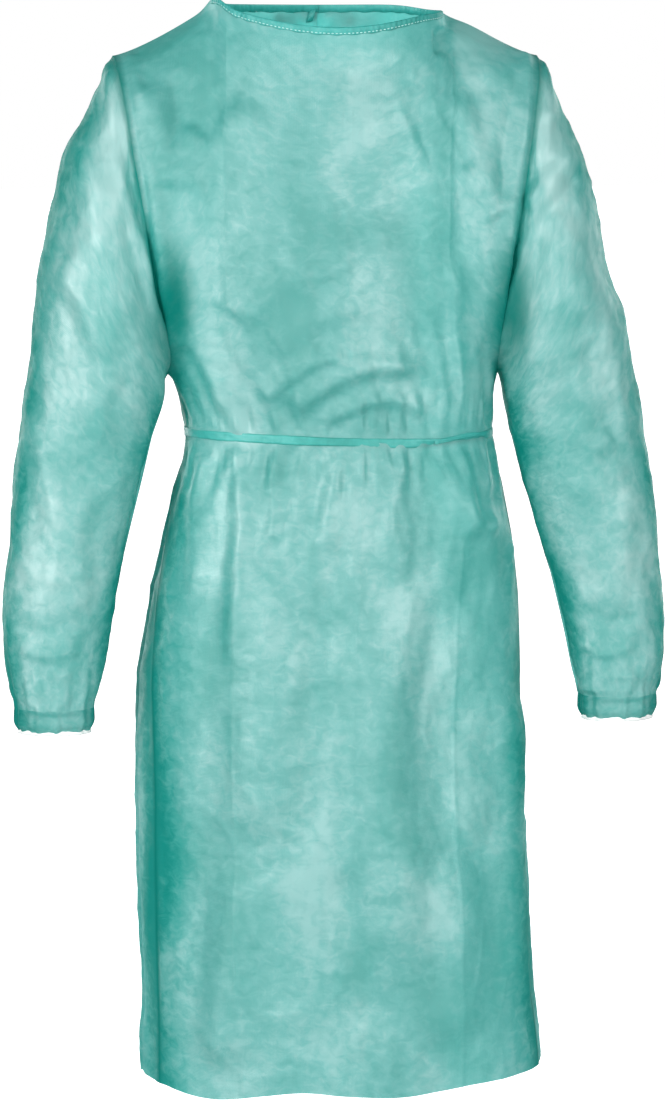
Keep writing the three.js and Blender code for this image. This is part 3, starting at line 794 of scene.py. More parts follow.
def put_tape(name, path, across, width, thick, seed=0, section=TAPE_SECTION, ripple=0.0):
    """A folded strip along a path, with its ends pressed closed."""
    path, across = np.asarray(path, float), unit(np.asarray(across, float))
    along = unit(np.gradient(path, axis=0))
    face = unit(np.cross(across, along))
    rng = np.random.default_rng(seed)
    n = len(path)
    steps = np.linspace(0, 1, n)
    wide = 1 + 0.10 * np.sin(steps * n / 9 + rng.uniform(0, 6)) * np.sin(steps * 9)
    close = smoothstep(np.minimum(steps, 1 - steps) * n / 2.5)
    rings = []
    for a, t in section:
        wave = ripple * np.sin(steps * n / 2.3 + 5 * a) * np.sin(steps * n / 7.7 + 2 * a)
        rings.append(path + across * (a * width * wide)[:, None]
                     + face * ((t * thick + wave) * close)[:, None])
    grid = np.stack(rings, axis=1)
    piece = put_grid(name, grid, uv_along(grid))
    join_edges(piece)
    return piece


def resample(path, across, count):
    path = curve_through(path, count)
    steps = np.linspace(0, len(across) - 1, count)
    return path, columns_at(np.asarray(across), steps, range(len(across)))


# %% [markdown]
# The neck edge is bound with a narrow tape folded over it. The tape follows the panel's own edge
# and straddles it, a little puckered by the stitching.

# %% Neck binding
BINDING_SECTION = [(0.0, -0.0008), (0.0068, -0.0009), (0.0069, -0.0003), (0.0010, 0.0),
                   (0.0069, 0.0003), (0.0068, 0.0009), (0.0, 0.0008), (-0.0009, 0.0005),
                   (-0.0012, 0.0), (-0.0009, -0.0006), (0.0, -0.0009)]


def put_binding(name, grid, first, last):
    """Fold a tape over the top edge of a panel's grid, between two of its columns."""
    edge = grid[0, first:last + 1]
    below = grid[3, first:last + 1]
    count = 3 * (last - first)
    steps = np.linspace(0, len(edge) - 1, count)
    down = unit(columns_at(below - edge, steps, range(len(edge))))
    edge = columns_at(edge, steps, range(len(edge)))
    out = unit(np.cross(unit(np.gradient(edge, axis=0)), down))
    pucker = 0.00022 * np.sin(np.arange(count) * 0.9) + 0.0003 * np.sin(np.arange(count) * 0.23)
    rings = [edge + down * (a + 0.0005 * np.sin(np.arange(count) * 0.31) * (a > 0.005))[:, None]
             + out * (t + np.sign(t) * pucker)[:, None] for a, t in BINDING_SECTION]
    points = np.stack(rings, axis=1)
    piece = put_grid(name, points, uv_along(points))
    join_edges(piece)
    return piece, edge, down, out


def put_stitches(name, edge, down, out, depth, pitch=0.0042, size=0.00055):
    """A row of short thread stitches along an edge, on its outer face."""
    lengths = np.concatenate([[0], np.cumsum(np.linalg.norm(np.diff(edge, axis=0), axis=1))])
    count = int(lengths[-1] / pitch)
    bpy.ops.object.select_all(action="DESELECT")
    at = np.linspace(0.002, lengths[-1] - 0.002, count)
    place = columns_at(edge, at, lengths)
    lean = unit(columns_at(down, at, lengths))
    face = unit(columns_at(out, at, lengths))
    along = unit(np.gradient(place, axis=0))
    half = pitch * 0.33
    points, faces = [], []
    for p, d, o, t in zip(place, lean, face, along):
        centre = p + d * depth + o * 0.0010
        base = len(points)
        for s, r in ((-1, 0.25), (-0.5, 1.0), (0.5, 1.0), (1, 0.25)):
            for k in range(6):
                a = 2 * math.pi * k / 6
                ring = (d * math.cos(a) + o * math.sin(a)) * size * r
                points.append(centre + t * half * s + ring)
        for ring in range(3):
            for k in range(6):
                a, b = base + ring * 6 + k, base + ring * 6 + (k + 1) % 6
                faces.append((a, b, b + 6, a + 6))
        faces.append(tuple(base + k for k in range(5, -1, -1)))
        faces.append(tuple(base + 18 + k for k in range(6)))
    mesh = bpy.data.meshes.new(name)
    mesh.from_pydata([tuple(p) for p in points], [], faces)
    piece = bpy.data.objects.new(name, mesh)
    bpy.context.scene.collection.objects.link(piece)
    join_edges(piece, 1e-7)
    bpy.ops.object.shade_smooth()
    return piece


u_front = np.linspace(0, 1, FRONT_COLUMNS)
first = int(np.searchsorted(u_front, 0.22))
last = FRONT_COLUMNS - 1 - first
binding, *edge_frames = put_binding("neck_tape_front", front_points, first, last)
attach(binding, "root")
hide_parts("neck_binding_front")
edge, down, out = edge_frames
out = out * np.sign((out * edge * np.array([1, 1, 0])).sum())
stitches = put_stitches("neck_stitches_front", edge, down, out, 0.0054)
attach(stitches, "root")

first = int(np.searchsorted(u_back, FOLD))
for name, side in SIDES:
    grid = mirrored(draw_in(back_base), side)
    grid[..., 1] += 0.0016 * (side < 0) * smoothstep((back_base[..., 0] + 0.05) / 0.03)
    binding, *edge_frames = put_binding(f"neck_tape_{name}", grid, first, BACK_COLUMNS - 1)
    flap_blend(binding)
    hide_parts(f"neck_binding_back_{name}")
    edge, down, out = edge_frames
    out = out * np.sign((out * edge * np.array([1, 1, 0])).sum())
    stitches = put_stitches(f"neck_stitches_{name}", edge, down, out, 0.0054)
    flap_blend(stitches)
print("binding done")

# %% [markdown]
# The belt is a strip of the same cloth, folded narrow and pulled tight. It bites into the gathers,
# sags a little to the wearer's left, and twists there so that both of its folds show.

# %% Belt and ties
BELT_WIDTH = 0.0095


def belt_path(angle, side):
    return mirrored(body_point(angle, np.full_like(angle, WAIST_Z), 0.0030), side)


def belt_sag(points):
    x = points[..., 0]
    return -0.0045 * np.exp(-((x - 0.075) / 0.075) ** 2) + 0.0030 * smoothstep((-x - 0.02) / 0.13)


fold_angle = -seam_turn(WAIST_Z) + (math.acos(BACK_GAP / 0.159)) * 0.30
half_turn = np.linspace(fold_angle, -np.pi / 2, 150)
path = np.vstack([belt_path(half_turn, 1.0), belt_path(half_turn[::-1][1:], -1.0)])
path[:, 2] += belt_sag(path) * (path[:, 1] < 0.02)
out_xy = unit(path * np.array([1, 1, 0]))
twist = 0.9 * np.exp(-((path[:, 0] - 0.105) / 0.03) ** 2) * (path[:, 1] < 0)
across = np.stack([0 * twist, 0 * twist, np.cos(twist)], 1) + out_xy * np.sin(twist)[:, None]
belt = put_tape("belt_front", path, across, BELT_WIDTH, 0.0022, seed=5, ripple=0.0003)
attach(belt, "root")
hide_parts("waist_belt")

strand_turn = np.linspace(-np.pi / 2 + 0.55, -0.42, 60)
strand = belt_path(strand_turn[::-1], -1.0)
strand = strand + unit(strand * np.array([1, 1, 0])) * 0.0022
strand[:, 2] += 0.0035 * np.sin(np.linspace(0.2, np.pi, 60)) + belt_sag(strand)
up = np.tile([0.0, 0.0, 1.0], (60, 1))
second = put_tape("belt_second_fold", strand, up, 0.0042, 0.0014, seed=8, ripple=0.0002)
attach(second, "root")

WAIST_BOW = [
    (9, 5.5, 0, 0), (6, 8.5, 1, 0), (12, 13, 4, 0), (30, 22, 10, 0), (52, 25, 13, 0),
    (72, 21, 10, 0), (80, 16, 2, 0), (71, 11.5, -5, 0), (50, 10.5, -7, 0), (32, 11, -7, 0.15),
    (24, 12, -12, 0.5), (22, 14, -22, 0.9), (23, 18, -40, 1), (24, 23, -62, 1),
    (26, 30, -105, 1), (30, 38, -170, 1), (33, 45, -245, 1), (35, 50, -308, 1),
]
NECK_BOW = [
    (6, 7.5, -3, 0), (12, 11, -4, 0), (28, 17, -4, 0), (44, 17, -4, 0), (55, 12, -8, 0),
    (45, 8, -14, 0), (28, 8, -16, 0.15), (21, 9, -21, 0.5), (19, 10, -30, 0.9),
    (20, 16, -70, 1), (23, 30, -140, 1), (26, 42, -208, 1),
]


def bow(steps, back_y, height):
    """One loop and one tail of a bow, on the wearer's right, from steps in millimetres."""
    path = [(-x / 1000, back_y + behind / 1000, height + up / 1000) for x, behind, up, _ in steps]
    across = [(-lean, 0, 1 - lean) for *_, lean in steps]
    return path, across


for name, side in SIDES:
    last = math.acos(BACK_GAP / 0.159)
    angles = np.linspace(last * 0.27, last * 0.985, 14)
    along_back = body_point(angles, np.full_like(angles, WAIST_Z), 0.0026)
    bow_path, bow_across = bow(WAIST_BOW, 0.092, WAIST_Z)
    path = [tuple(p) for p in along_back] + bow_path
    across = [(0, 0, 1)] * len(along_back) + bow_across
    path, across = resample(path, across, 420)
    tie = put_tape(f"waist_tie_cloth_{name}", mirrored(path, side), mirrored(across, side),
                   BELT_WIDTH, 0.0016, seed=12 + int(side), ripple=0.0003)
    flap_blend(tie)
    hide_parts(f"waist_tie_{name}")

    neck_end = back_top(np.array([1.0]))[0]
    path, across = resample(*bow(NECK_BOW, neck_end[1], neck_end[2] - 0.002), 260)
    tie = put_tape(f"neck_tie_cloth_{name}", mirrored(path, side), mirrored(across, side),
                   0.0095, 0.0014, seed=15 + int(side), ripple=0.0002)
    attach(tie, f"flap_{name}")
    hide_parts(f"neck_tie_{name}")
print("belt and ties done")

# %% [markdown]
# Where each bow crosses, the strips wrap once into a small knot. The wearer's right half carries
# it, so that it goes with that flap when the bow is undone.

# %% Knots
for label, height, back_y, slot, width in (("waist", WAIST_Z, 0.0985, "nonwoven", 0.0095),
                                           ("neck", -0.006, 0.0705, "binding", 0.0070)):
    turn = np.linspace(0, 2.35 * np.pi, 70)
    radius = 0.0062 + 0.0006 * turn / 6
    path = np.stack([-0.006 + 0 * turn + 0.0016 * np.sin(turn), back_y + 0.004
                     + radius * np.cos(turn) * 0.8, height + 0.001 + radius * np.sin(turn)], 1)
    across = np.tile([1.0, 0.0, 0.25], (70, 1))
    knot = put_tape(f"{label}_knot", path, across, width, 0.0016, seed=31, ripple=0.0003)
    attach(knot, "flap_right")

# %% [markdown]
# Inside every joined edge the two panels leave an allowance of a few millimetres, sewn together
# over and over by an overlock. It is a narrow ruffled strip with thread round it.

# %% Seam allowances
SEAM_WIDTH = 0.007


def put_seam(name, path, inward, closed=False):
    """A ruffled double edge standing inside a seam, and the thread over it."""
    path, inward = np.asarray(path, float), unit(np.asarray(inward, float))
    n = len(path)
    along = unit(np.gradient(path, axis=0))
    flat = unit(np.cross(inward, along))
    ruffle = 0.0006 * np.sin(np.arange(n) * 0.53) + 0.0004 * np.sin(np.arange(n) * 1.31)
    rows = []
    for a, t in ((0, 0.0003), (0.5, 0.0004), (1, 0.0003), (1, -0.0003), (0.5, -0.0004),
                 (0, -0.0003), (0, 0.0003)):
        rows.append(path + inward * (0.0006 + a * SEAM_WIDTH) + flat * (t + a * ruffle)[:, None])
    grid = np.stack(rows, axis=1)
    if closed:
        grid[-1] = grid[0]
    piece = put_grid(name, grid, uv_along(grid))
    join_edges(piece)
    thread = put_stitches(f"{name}_thread", path + inward * 0.0006, inward, flat, 0.0045,
                          pitch=0.0050, size=0.0004)
    return piece, thread


for name, side in SIDES:
    z = np.linspace(ARMPIT_Z - 0.004, HEM_Z + 0.002, 300)
    turn = -seam_turn(z)
    path = body_point(turn, z, -0.001)
    inward = -unit(path * np.array([1, 1, 0]))
    seam, thread = put_seam(f"side_seam_cloth_{name}", mirrored(path, side),
                            mirrored(inward, side))
    for piece in (seam, thread):
        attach(piece, "root")
    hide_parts(f"side_seam_{name}")

    path = shoulder_line(np.linspace(0.06, 0.92, 60)) - np.array([0, 0, 0.0015])
    inward = np.tile([0.0, 0.0, -1.0], (60, 1))
    seam, thread = put_seam(f"shoulder_seam_cloth_{name}", mirrored(path, side), inward)
    for piece in (seam, thread):
        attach(piece, "root")
    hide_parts(f"shoulder_seam_{name}")

    w = np.linspace(0.0, 2.0, 260)
    ring = np.where((w <= 1)[:, None], armhole_point(np.minimum(w, 1), 1, 0.001),
                    armhole_point(np.clip(2 - w, 0, 1), -1, 0.001))
    inward = unit(ARMHOLE_MIDDLE - ring)
    seam, thread = put_seam(f"armhole_seam_cloth_{name}", mirrored(ring, side),
                            mirrored(inward, side), closed=True)
    for piece in (seam, thread):
        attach(piece, "root")
    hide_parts(f"armhole_seam_{name}")

    under = sleeve_base[6:-6, SLEEVE_COLUMNS // 2]
    middle = sleeve_base[6:-6, :-1].mean(axis=1)
    seam, thread = put_seam(f"sleeve_seam_cloth_{name}", mirrored(under, side),
                            mirrored(middle - under, side))
    for piece in (seam, thread):
        sleeve_blend(piece)
    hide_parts(f"sleeve_seam_{name}")
print("seams done")

# %% [markdown]
# Spunbond is a web of fine plastic fibres, laid down in loops and pressed together in a close
# pattern of dots. Where the web is thicker it looks paler and cloudier. One node group makes the
# clouds, the fibres and the pressed dots from the cloth's own map, for every piece.

# %% The web of fibres, as a node group
def new_group(name, inputs, outputs):
    group = bpy.data.node_groups.new(name, "ShaderNodeTree")
    for label, kind, value in inputs:
        socket = group.interface.new_socket(label, in_out="INPUT", socket_type=kind)
        if value is not None:
            socket.default_value = value
    for label, kind in outputs:
        group.interface.new_socket(label, in_out="OUTPUT", socket_type=kind)
    return group, group.nodes.new("NodeGroupInput"), group.nodes.new("NodeGroupOutput")


def math_node(nodes, links, operation, a, b=None, clamp=False):
    node = nodes.new("ShaderNodeMath")
    node.operation = operation
    node.use_clamp = clamp
    for socket, value in zip(node.inputs, (a, b)):
        if value is None:
            continue
        if isinstance(value, (int, float)):
            socket.default_value = value
        else:
            links.new(value, socket)
    return node.outputs[0]


def noise_node(nodes, links, vector, scale, detail, rough, distort=0.0):
    node = nodes.new("ShaderNodeTexNoise")
    node.inputs["Scale"].default_value = scale
    node.inputs["Detail"].default_value = detail
    node.inputs["Roughness"].default_value = rough
    node.inputs["Distortion"].default_value = distort
    links.new(vector, node.inputs["Vector"])
    return node.outputs["Fac"]


def stretch(nodes, links, vector, scale, turn=0.0):
    node = nodes.new("ShaderNodeMapping")
    node.inputs["Scale"].default_value = scale
    node.inputs["Rotation"].default_value = (0, 0, turn)
    links.new(vector, node.inputs["Vector"])
    return node.outputs["Vector"]


web, web_in, web_out = new_group(
    "spunbond_web",
    (("Cloth", "NodeSocketVector", None), ("Cloudiness", "NodeSocketFloat", 1.0)),
    (("Clouds", "NodeSocketFloat"), ("Fibres", "NodeSocketFloat"), ("Height", "NodeSocketFloat")),
)
nodes, links = web.nodes, web.links
cloth = web_in.outputs["Cloth"]
broad = noise_node(nodes, links, stretch(nodes, links, cloth, (1.0, 0.7, 1)), 9.0, 3.0, 0.55, 0.4)
patchy = noise_node(nodes, links, stretch(nodes, links, cloth, (1.0, 1.3, 1)), 78.0, 5.0, 0.60, 0.6)
clouds = math_node(nodes, links, "ADD", math_node(nodes, links, "MULTIPLY", broad, 0.70),
                   math_node(nodes, links, "MULTIPLY", patchy, 0.30))
centred = math_node(nodes, links, "SUBTRACT", clouds, 0.5)
spread = math_node(nodes, links, "MULTIPLY", centred, web_in.outputs["Cloudiness"])
links.new(math_node(nodes, links, "ADD", spread, 0.5, clamp=True), web_out.inputs["Clouds"])

strands = None
for turn, across in ((0.35, 2600.0), (-0.55, 2200.0), (1.3, 1900.0)):
    lay = stretch(nodes, links, cloth, (across, across * 0.055, 1), turn)
    strand = noise_node(nodes, links, lay, 1.0, 2.0, 0.5, 1.4)
    strands = strand if strands is None else math_node(nodes, links, "MAXIMUM", strands, strand)
links.new(strands, web_out.inputs["Fibres"])

DOT_PITCH = 0.0021
wave_u = nodes.new("ShaderNodeSeparateXYZ")
links.new(stretch(nodes, links, cloth, (2 * math.pi / DOT_PITCH,) * 3, math.pi / 4),
          wave_u.inputs[0])
dots = math_node(nodes, links, "MULTIPLY",
                 math_node(nodes, links, "SINE", wave_u.outputs["X"]),
                 math_node(nodes, links, "SINE", wave_u.outputs["Y"]))
pressed = math_node(nodes, links, "MULTIPLY",
                    math_node(nodes, links, "SUBTRACT", dots, 0.35, clamp=True), -1.1)
height = math_node(nodes, links, "ADD", pressed,
                   math_node(nodes, links, "MULTIPLY", strands, 0.8))
height = math_node(nodes, links, "ADD", height, math_node(nodes, links, "MULTIPLY", patchy, 0.9))
links.new(height, web_out.inputs["Height"])
print("web group", len(nodes), "nodes")

# %% [markdown]
# The cloth itself reflects a pale teal from its fibres, and lets a deeper, more saturated teal
# through. A Principled shader mixed with a Translucent one gives both. Masks measured from the sewn
# edges and the armpits paint shade on the cloth: a deeper teal along each panel's edges, darker still
# along the seam line, partly the allowance inside, and in the recess at each armpit. The gloss and
# the light let through are turned down under that painted shade.

# %% The cloth's finish
def range_node(nodes, links, value, start, end, low=0.0, high=1.0, smooth=False):
    """Map start..end to low..high."""
    node = nodes.new("ShaderNodeMapRange")
    if smooth:
        node.interpolation_type = "SMOOTHSTEP"
    for label, number in (("From Min", start), ("From Max", end), ("To Min", low), ("To Max", high)):
        node.inputs[label].default_value = number
    links.new(value, node.inputs["Value"])
    return node.outputs["Result"]


def mix_node(nodes, links, factor, first, second):
    """From the first colour to the second, which is a colour or a socket."""
    node = nodes.new("ShaderNodeMix")
    node.data_type = "RGBA"
    node.inputs["A"].default_value = (*first, 1)
    if isinstance(second, tuple):
        node.inputs["B"].default_value = (*second, 1)
    else:
        links.new(second, node.inputs["B"])
    links.new(factor, node.inputs["Factor"])
    return node.outputs["Result"]


def ramp_node(nodes, links, value, stops):
    node = nodes.new("ShaderNodeValToRGB")
    ramp = node.color_ramp
    while len(ramp.elements) < len(stops):
        ramp.elements.new(0.5)
    for element, (place, colour) in zip(ramp.elements, stops):
        element.position = place
        element.color = (*colour, 1)
    links.new(value, node.inputs["Fac"])
    return node.outputs["Color"]


def panel_middle(nodes, links, uv, clouds, whole, repeats, reach, from_top, clear_above):
    """0 along a panel's long edges and 1 from reach inwards, for a panel whole metres wide.

    The mask lays a painted shade along the edges. from_top over 0 paints that shade on the panel's
    upper edge as well, that many times deeper than its sides. clear_above over 0 takes the painted
    side shade away over the panel's first that many metres. Also returned: the distance from the sewn
    edge.
    """
    split = nodes.new("ShaderNodeSeparateXYZ")
    links.new(uv, split.inputs[0])
    from_edge = math_node(nodes, links, "ADD", split.outputs["X"], whole / 2)
    inward = math_node(nodes, links, "PINGPONG", from_edge, whole / 2 / repeats)
    sewn = inward
    if from_top:
        sewn = math_node(nodes, links, "MULTIPLY", split.outputs["Y"], -1)
        below = math_node(nodes, links, "DIVIDE", sewn, from_top)
        below = math_node(nodes, links, "ADD", below, 0.25 * reach)
        inward = math_node(nodes, links, "MINIMUM", inward, below)
    if clear_above:
        clear = range_node(nodes, links, split.outputs["Y"], -clear_above, 0.12 - clear_above,
                           high=0.8 * reach, smooth=True)
        inward = math_node(nodes, links, "ADD", inward, clear)
    uneven = math_node(nodes, links, "SUBTRACT", clouds, 0.5)
    inward = math_node(nodes, links, "ADD", inward,
                       math_node(nodes, links, "MULTIPLY", uneven, 0.75 * reach))
    return range_node(nodes, links, inward, 0.0, reach, smooth=True), sewn


# Painted shade: this mask darkens the cloth in the recess at each armpit.
def off_armpit_painted_shade(nodes, links):
    """Low in the recess on either side of the armpit, where the cloth is rolled together."""
    place = nodes.new("ShaderNodeTexCoord")
    positive = nodes.new("ShaderNodeVectorMath")
    positive.operation = "ABSOLUTE"
    links.new(place.outputs["Object"], positive.inputs[0])
    across = nodes.new("ShaderNodeVectorMath")
    across.operation = "MULTIPLY_ADD"
    across.inputs[1].default_value = (1, 0, 0.32)
    across.inputs[2].default_value = (-0.176, 0, -0.32 * 0.300)
    links.new(positive.outputs["Vector"], across.inputs[0])
    far = nodes.new("ShaderNodeVectorMath")
    far.operation = "LENGTH"
    links.new(across.outputs["Vector"], far.inputs[0])
    return range_node(nodes, links, far.outputs["Value"], 0.004, 0.030, low=0.12, smooth=True)


def nonwoven(name, deep, mid, pale, through, share, rough=(0.50, 0.68), gloss=1.0,
             bend=2.0, cloudiness=2.7, bump=0.00016, panel=None, edge=(0.000, 0.262, 0.228)):
    """Thin nonwoven: colours for thin and thick web, the colour let through, and its share.

    panel is the panel's width, how often its painted edge shade repeats, how far in that reaches, how
    much deeper it is at the top, and the length at the top without it. edge is the colour of that
    painted shade.
    """
    material = bpy.data.materials.new(name)
    material.use_nodes = True
    nodes, links = material.node_tree.nodes, material.node_tree.links
    shader = nodes["Principled BSDF"]
    shader.inputs["Specular IOR Level"].default_value = gloss
    shader.inputs["IOR"].default_value = bend
    place = nodes.new("ShaderNodeUVMap")
    place.uv_map = "Cloth"
    group = nodes.new("ShaderNodeGroup")
    group.node_tree = web
    group.inputs["Cloudiness"].default_value = cloudiness
    links.new(place.outputs["UV"], group.inputs["Cloth"])
    colour = ramp_node(nodes, links, group.outputs["Clouds"],
                       ((0.20, deep), (0.50, mid), (0.82, pale)))
    if panel:
        middle, sewn = panel_middle(nodes, links, place.outputs["UV"],
                                    group.outputs["Clouds"], *panel)
        off_painted_shade = math_node(nodes, links, "MINIMUM",
                         range_node(nodes, links, sewn, 0.0, 0.007, low=0.25),
                         range_node(nodes, links, middle, 0.0, 0.35, low=0.60))
        off_painted_shade = math_node(nodes, links, "MINIMUM", off_painted_shade, off_armpit_painted_shade(nodes, links))
        # Painted shade: the edge colour darkens the cloth along the panel's sides.
        colour = mix_node(nodes, links, middle, edge, colour)
        # Painted shade, darker still: along the seam line, partly the allowance inside, and in the
        # armpit recess.
        colour = mix_node(nodes, links, off_painted_shade, (0.000, 0.195, 0.162), colour)
        # The gloss is turned down under the painted shade as well.
        shine = math_node(nodes, links, "MULTIPLY", middle, 0.85 * gloss)
        shine = math_node(nodes, links, "ADD", shine, 0.15 * gloss)
        shine = math_node(nodes, links, "MULTIPLY", shine, off_painted_shade)
        links.new(shine, shader.inputs["Specular IOR Level"])
    links.new(colour, shader.inputs["Base Color"])
    links.new(range_node(nodes, links, group.outputs["Clouds"], 0.25, 0.75, *rough[::-1]),
              shader.inputs["Roughness"])
    relief = nodes.new("ShaderNodeBump")
    relief.inputs["Distance"].default_value = bump
    relief.inputs["Strength"].default_value = 0.8
    links.new(group.outputs["Height"], relief.inputs["Height"])
    links.new(relief.outputs["Normal"], shader.inputs["Normal"])
    if share:
        glow = nodes.new("ShaderNodeBsdfTranslucent")
        glow.inputs["Color"].default_value = (*through, 1)
        if panel:
            # The light let through is darkened under the same painted shade.
            shaded_through = mix_node(nodes, links, off_painted_shade, (0.000, 0.160, 0.135), through)
            links.new(shaded_through, glow.inputs["Color"])
        links.new(relief.outputs["Normal"], glow.inputs["Normal"])
        mix = nodes.new("ShaderNodeMixShader")
        mix.inputs["Fac"].default_value = share
        links.new(shader.outputs["BSDF"], mix.inputs[1])
        links.new(glow.outputs["BSDF"], mix.inputs[2])
        links.new(mix.outputs["Shader"], nodes["Material Output"].inputs["Surface"])
    return material


CLOTH_COLOURS = {"deep": (0.012, 0.325, 0.296), "mid": (0.088, 0.425, 0.405),
                 "pale": (0.270, 0.575, 0.562), "through": (0.034, 0.480, 0.432), "share": 0.50}
# The sleeves and cuffs are the same cloth as the body, given paler colours: painted light for the
# paler look of the cloth over the arms.
SLEEVE_PAINTED_PALER_COLOURS = {"deep": (0.034, 0.385, 0.355), "mid": (0.160, 0.500, 0.480),
                  "pale": (0.370, 0.660, 0.645), "through": (0.034, 0.490, 0.442), "share": 0.50}
# The panel settings place the painted edge shade on each piece.
front_finish = nonwoven("front_cloth", panel=(FRONT_WIDE, 1, 0.058, 0, 0.29), **CLOTH_COLOURS)
back_finish = nonwoven("back_cloth", panel=(BACK_WIDE, 0.5, 0.070, 0, 0.29), **CLOTH_COLOURS)
sleeve_finish = nonwoven("sleeve_cloth", panel=(SLEEVE_WIDE, 2, 0.072, 0.5, 0), **SLEEVE_PAINTED_PALER_COLOURS)
cuff_finish = nonwoven("cuff_cloth", panel=(CUFF_WIDE, 2, 0.050, 0, 0), **SLEEVE_PAINTED_PALER_COLOURS)
fold_cloth = nonwoven("folded_cloth", deep=(0.002, 0.250, 0.215), mid=(0.010, 0.310, 0.275),
                      pale=(0.040, 0.390, 0.355), through=(0.020, 0.450, 0.380), share=0.18, bend=1.5)
tape_cloth = nonwoven("binding_cloth", deep=(0.004, 0.260, 0.230), mid=(0.014, 0.320, 0.290),
                      pale=(0.050, 0.400, 0.370), through=(0.030, 0.480, 0.410), share=0.20, bend=1.5)
elastic_white = nonwoven("white_elastic", deep=(0.62, 0.66, 0.65), mid=(0.74, 0.77, 0.76),
                         pale=(0.84, 0.86, 0.85), through=(0.8, 0.8, 0.8), share=0.0,
                         rough=(0.55, 0.75), gloss=0.4, bend=1.45)
thread_pale = nonwoven("pale_thread", deep=(0.28, 0.58, 0.54), mid=(0.36, 0.66, 0.62),
                       pale=(0.46, 0.72, 0.69), through=(0.3, 0.6, 0.55), share=0.0,
                       rough=(0.40, 0.50), gloss=0.6, bend=1.5)

FINISHES = (("neck_stitches", thread_pale), ("_thread", thread_pale), ("elastic", elastic_white),
            ("neck_t", tape_cloth), ("neck_knot", tape_cloth), ("belt", fold_cloth),
            ("waist_", fold_cloth), ("seam", fold_cloth), ("front_cloth", front_finish),
            ("back_cloth", back_finish), ("sleeve_cloth", sleeve_finish), ("cuff_", cuff_finish))
for piece in bpy.context.scene.objects:
    if piece.type != "MESH" or piece.hide_render or piece.name in frame["nodes"]:
        continue
    finish = next(m for key, m in FINISHES if key in piece.name)
    piece.data.materials.clear()
    piece.data.materials.append(finish)
print("finishes given")

# %% [markdown]
# A wearer never stands quite square. The whole gown is shifted a few millimetres sideways, by
# height: the shoulders one way and the hips the other. Every piece takes the same shift, so the
# seams stay closed. The wearer's right neck corner is pulled up a little, and the left one down.

# %% Stance
BODY_SWAY = ((0.03, -4), (-0.05, -7), (-0.15, -10), (-0.25, -9), (-0.33, -4), (-0.37, 0),
             (-0.41, 5), (-0.438, 7), (-0.50, 7), (-0.56, 6), (-0.62, 3), (-0.70, -1),
             (-0.85, -1), (-0.95, 1), (-1.05, 4), (-1.12, 5))
ARM_SWAY = ((0.03, -4), (-0.05, -7), (-0.15, -10), (-0.25, -9), (-0.33, -6), (-0.45, -4),
            (-0.55, -3), (-0.74, -2))


def by_height(table, z):
    heights, shifts = np.array(table[::-1]).T
    return np.interp(z, heights, shifts) / 1000


def stance(points):
    """Shift points the way the wearer stands."""
    x, z = points[:, 0].copy(), points[:, 2].copy()
    arm = smoothstep((np.abs(x) - body_size(z)[0] - 0.004) / 0.030)
    points[:, 0] += by_height(BODY_SWAY, z) * (1 - arm) + by_height(ARM_SWAY, z) * arm
    low = smoothstep((-0.98 - z) / 0.13)
    points[:, 0] += 0.010 * low * smoothstep((x - 0.05) / 0.12)
    points[:, 2] -= 0.010 * low * np.exp(-((x + 0.150) / 0.045) ** 2)
    points[:, 2] -= 0.006 * low * np.exp(-((x - 0.050) / 0.050) ** 2)
    points[:, 2] += 0.003 * low * np.exp(-((x + 0.055) / 0.030) ** 2)
    top = np.exp(-((z - 0.004) / 0.022) ** 2)
    points[:, 2] += 0.0070 * top * np.exp(-((x + 0.118) / 0.010) ** 2)
    points[:, 2] -= 0.0070 * top * np.exp(-((x - 0.122) / 0.028) ** 2)
    return points


for piece in bpy.context.scene.objects:
    if piece.type != "MESH" or piece.hide_render or piece.name in frame["nodes"]:
        continue
    co = np.empty(3 * len(piece.data.vertices), dtype=np.float32)
    piece.data.vertices.foreach_get("co", co)
    piece.data.vertices.foreach_set("co", stance(co.reshape(-1, 3)).ravel())
    piece.data.update()
print("stance set")

# %% [markdown]
# The gown stands over a plain white floor, lit by two tall soft boxes in front, one on each side,
# so that each rounded piece has a pale middle and deeper sides. Two more stand behind it and shine
# through the cloth, a small one hangs above, and the white surroundings fill in the rest.

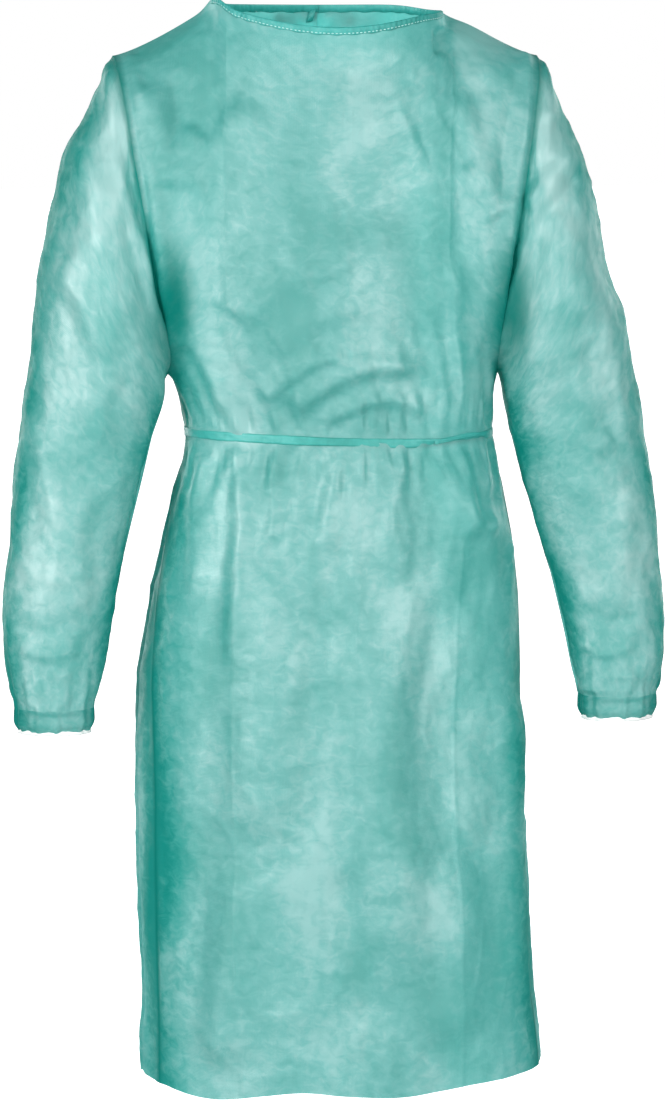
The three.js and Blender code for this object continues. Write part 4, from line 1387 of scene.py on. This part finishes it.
# %% Floor and lights
FLOOR_Z = -1.42
bpy.ops.object.select_all(action="DESELECT")
bpy.ops.mesh.primitive_plane_add(size=60, location=(0, 0, FLOOR_Z))
floor = bpy.context.object
floor.name = "floor"
floor_finish = bpy.data.materials.new("floor_white")
floor_finish.use_nodes = True
floor_shader = floor_finish.node_tree.nodes["Principled BSDF"]
floor_shader.inputs["Base Color"].default_value = (0.45, 0.45, 0.45, 1)
floor_shader.inputs["Roughness"].default_value = 0.9
floor_shader.inputs["Specular IOR Level"].default_value = 0.0
floor_shader.inputs["Emission Color"].default_value = (1, 1, 1, 1)
seen_floor = floor_finish.node_tree.nodes.new("ShaderNodeLightPath")
glow_strength = math_node(floor_finish.node_tree.nodes, floor_finish.node_tree.links, "MULTIPLY",
                          seen_floor.outputs["Is Camera Ray"], 1.2)
floor_finish.node_tree.links.new(glow_strength, floor_shader.inputs["Emission Strength"])
floor.data.materials.append(floor_finish)

world = bpy.data.worlds.new("white_surroundings")
world.use_nodes = True
nodes, links = world.node_tree.nodes, world.node_tree.links
room = nodes["Background"]
room.inputs["Color"].default_value = (1, 1, 1, 1)
path_kind = nodes.new("ShaderNodeLightPath")
to_eye = math_node(nodes, links, "MULTIPLY", path_kind.outputs["Is Camera Ray"], 1.0)
to_cloth = math_node(nodes, links, "MULTIPLY", path_kind.outputs["Is Diffuse Ray"], 0.34)
in_gloss = math_node(nodes, links, "MULTIPLY", path_kind.outputs["Is Glossy Ray"], 0.02)
strength = math_node(nodes, links, "ADD", math_node(nodes, links, "ADD", to_eye, to_cloth), in_gloss)
links.new(strength, room.inputs["Strength"])
bpy.context.scene.world = world

SOFTBOXES = (
    # label, turn from the camera in degrees, distance, height, watts, (wide, tall)
    ("left_softbox", -36, 3.4, 0.20, 132, (1.2, 2.8)),
    ("right_softbox", 40, 3.4, 0.20, 100, (1.1, 2.8)),
    ("front_softbox", -8, 3.4, 2.6, 20, (2.2, 1.0)),
    ("back_left_softbox", -142, 3.4, 0.10, 84, (1.2, 2.8)),
    ("back_right_softbox", 146, 3.4, 0.10, 72, (1.2, 2.8)),
)
for label, turn, far, height, watts, size in SOFTBOXES:
    around = VIEW_TURN + math.radians(turn)
    place = Vector((far * math.sin(around), -far * math.cos(around), height))
    bpy.ops.object.light_add(type="AREA", location=place)
    lamp = bpy.context.object
    lamp.name = label
    lamp.data.shape = "RECTANGLE"
    lamp.data.size, lamp.data.size_y = size
    lamp.data.energy = watts
    aim = Vector((0, 0, -0.55)) - place
    lamp.rotation_euler = aim.to_track_quat("-Z", "Y").to_euler()
bpy.context.scene.view_settings.view_transform = "Standard"
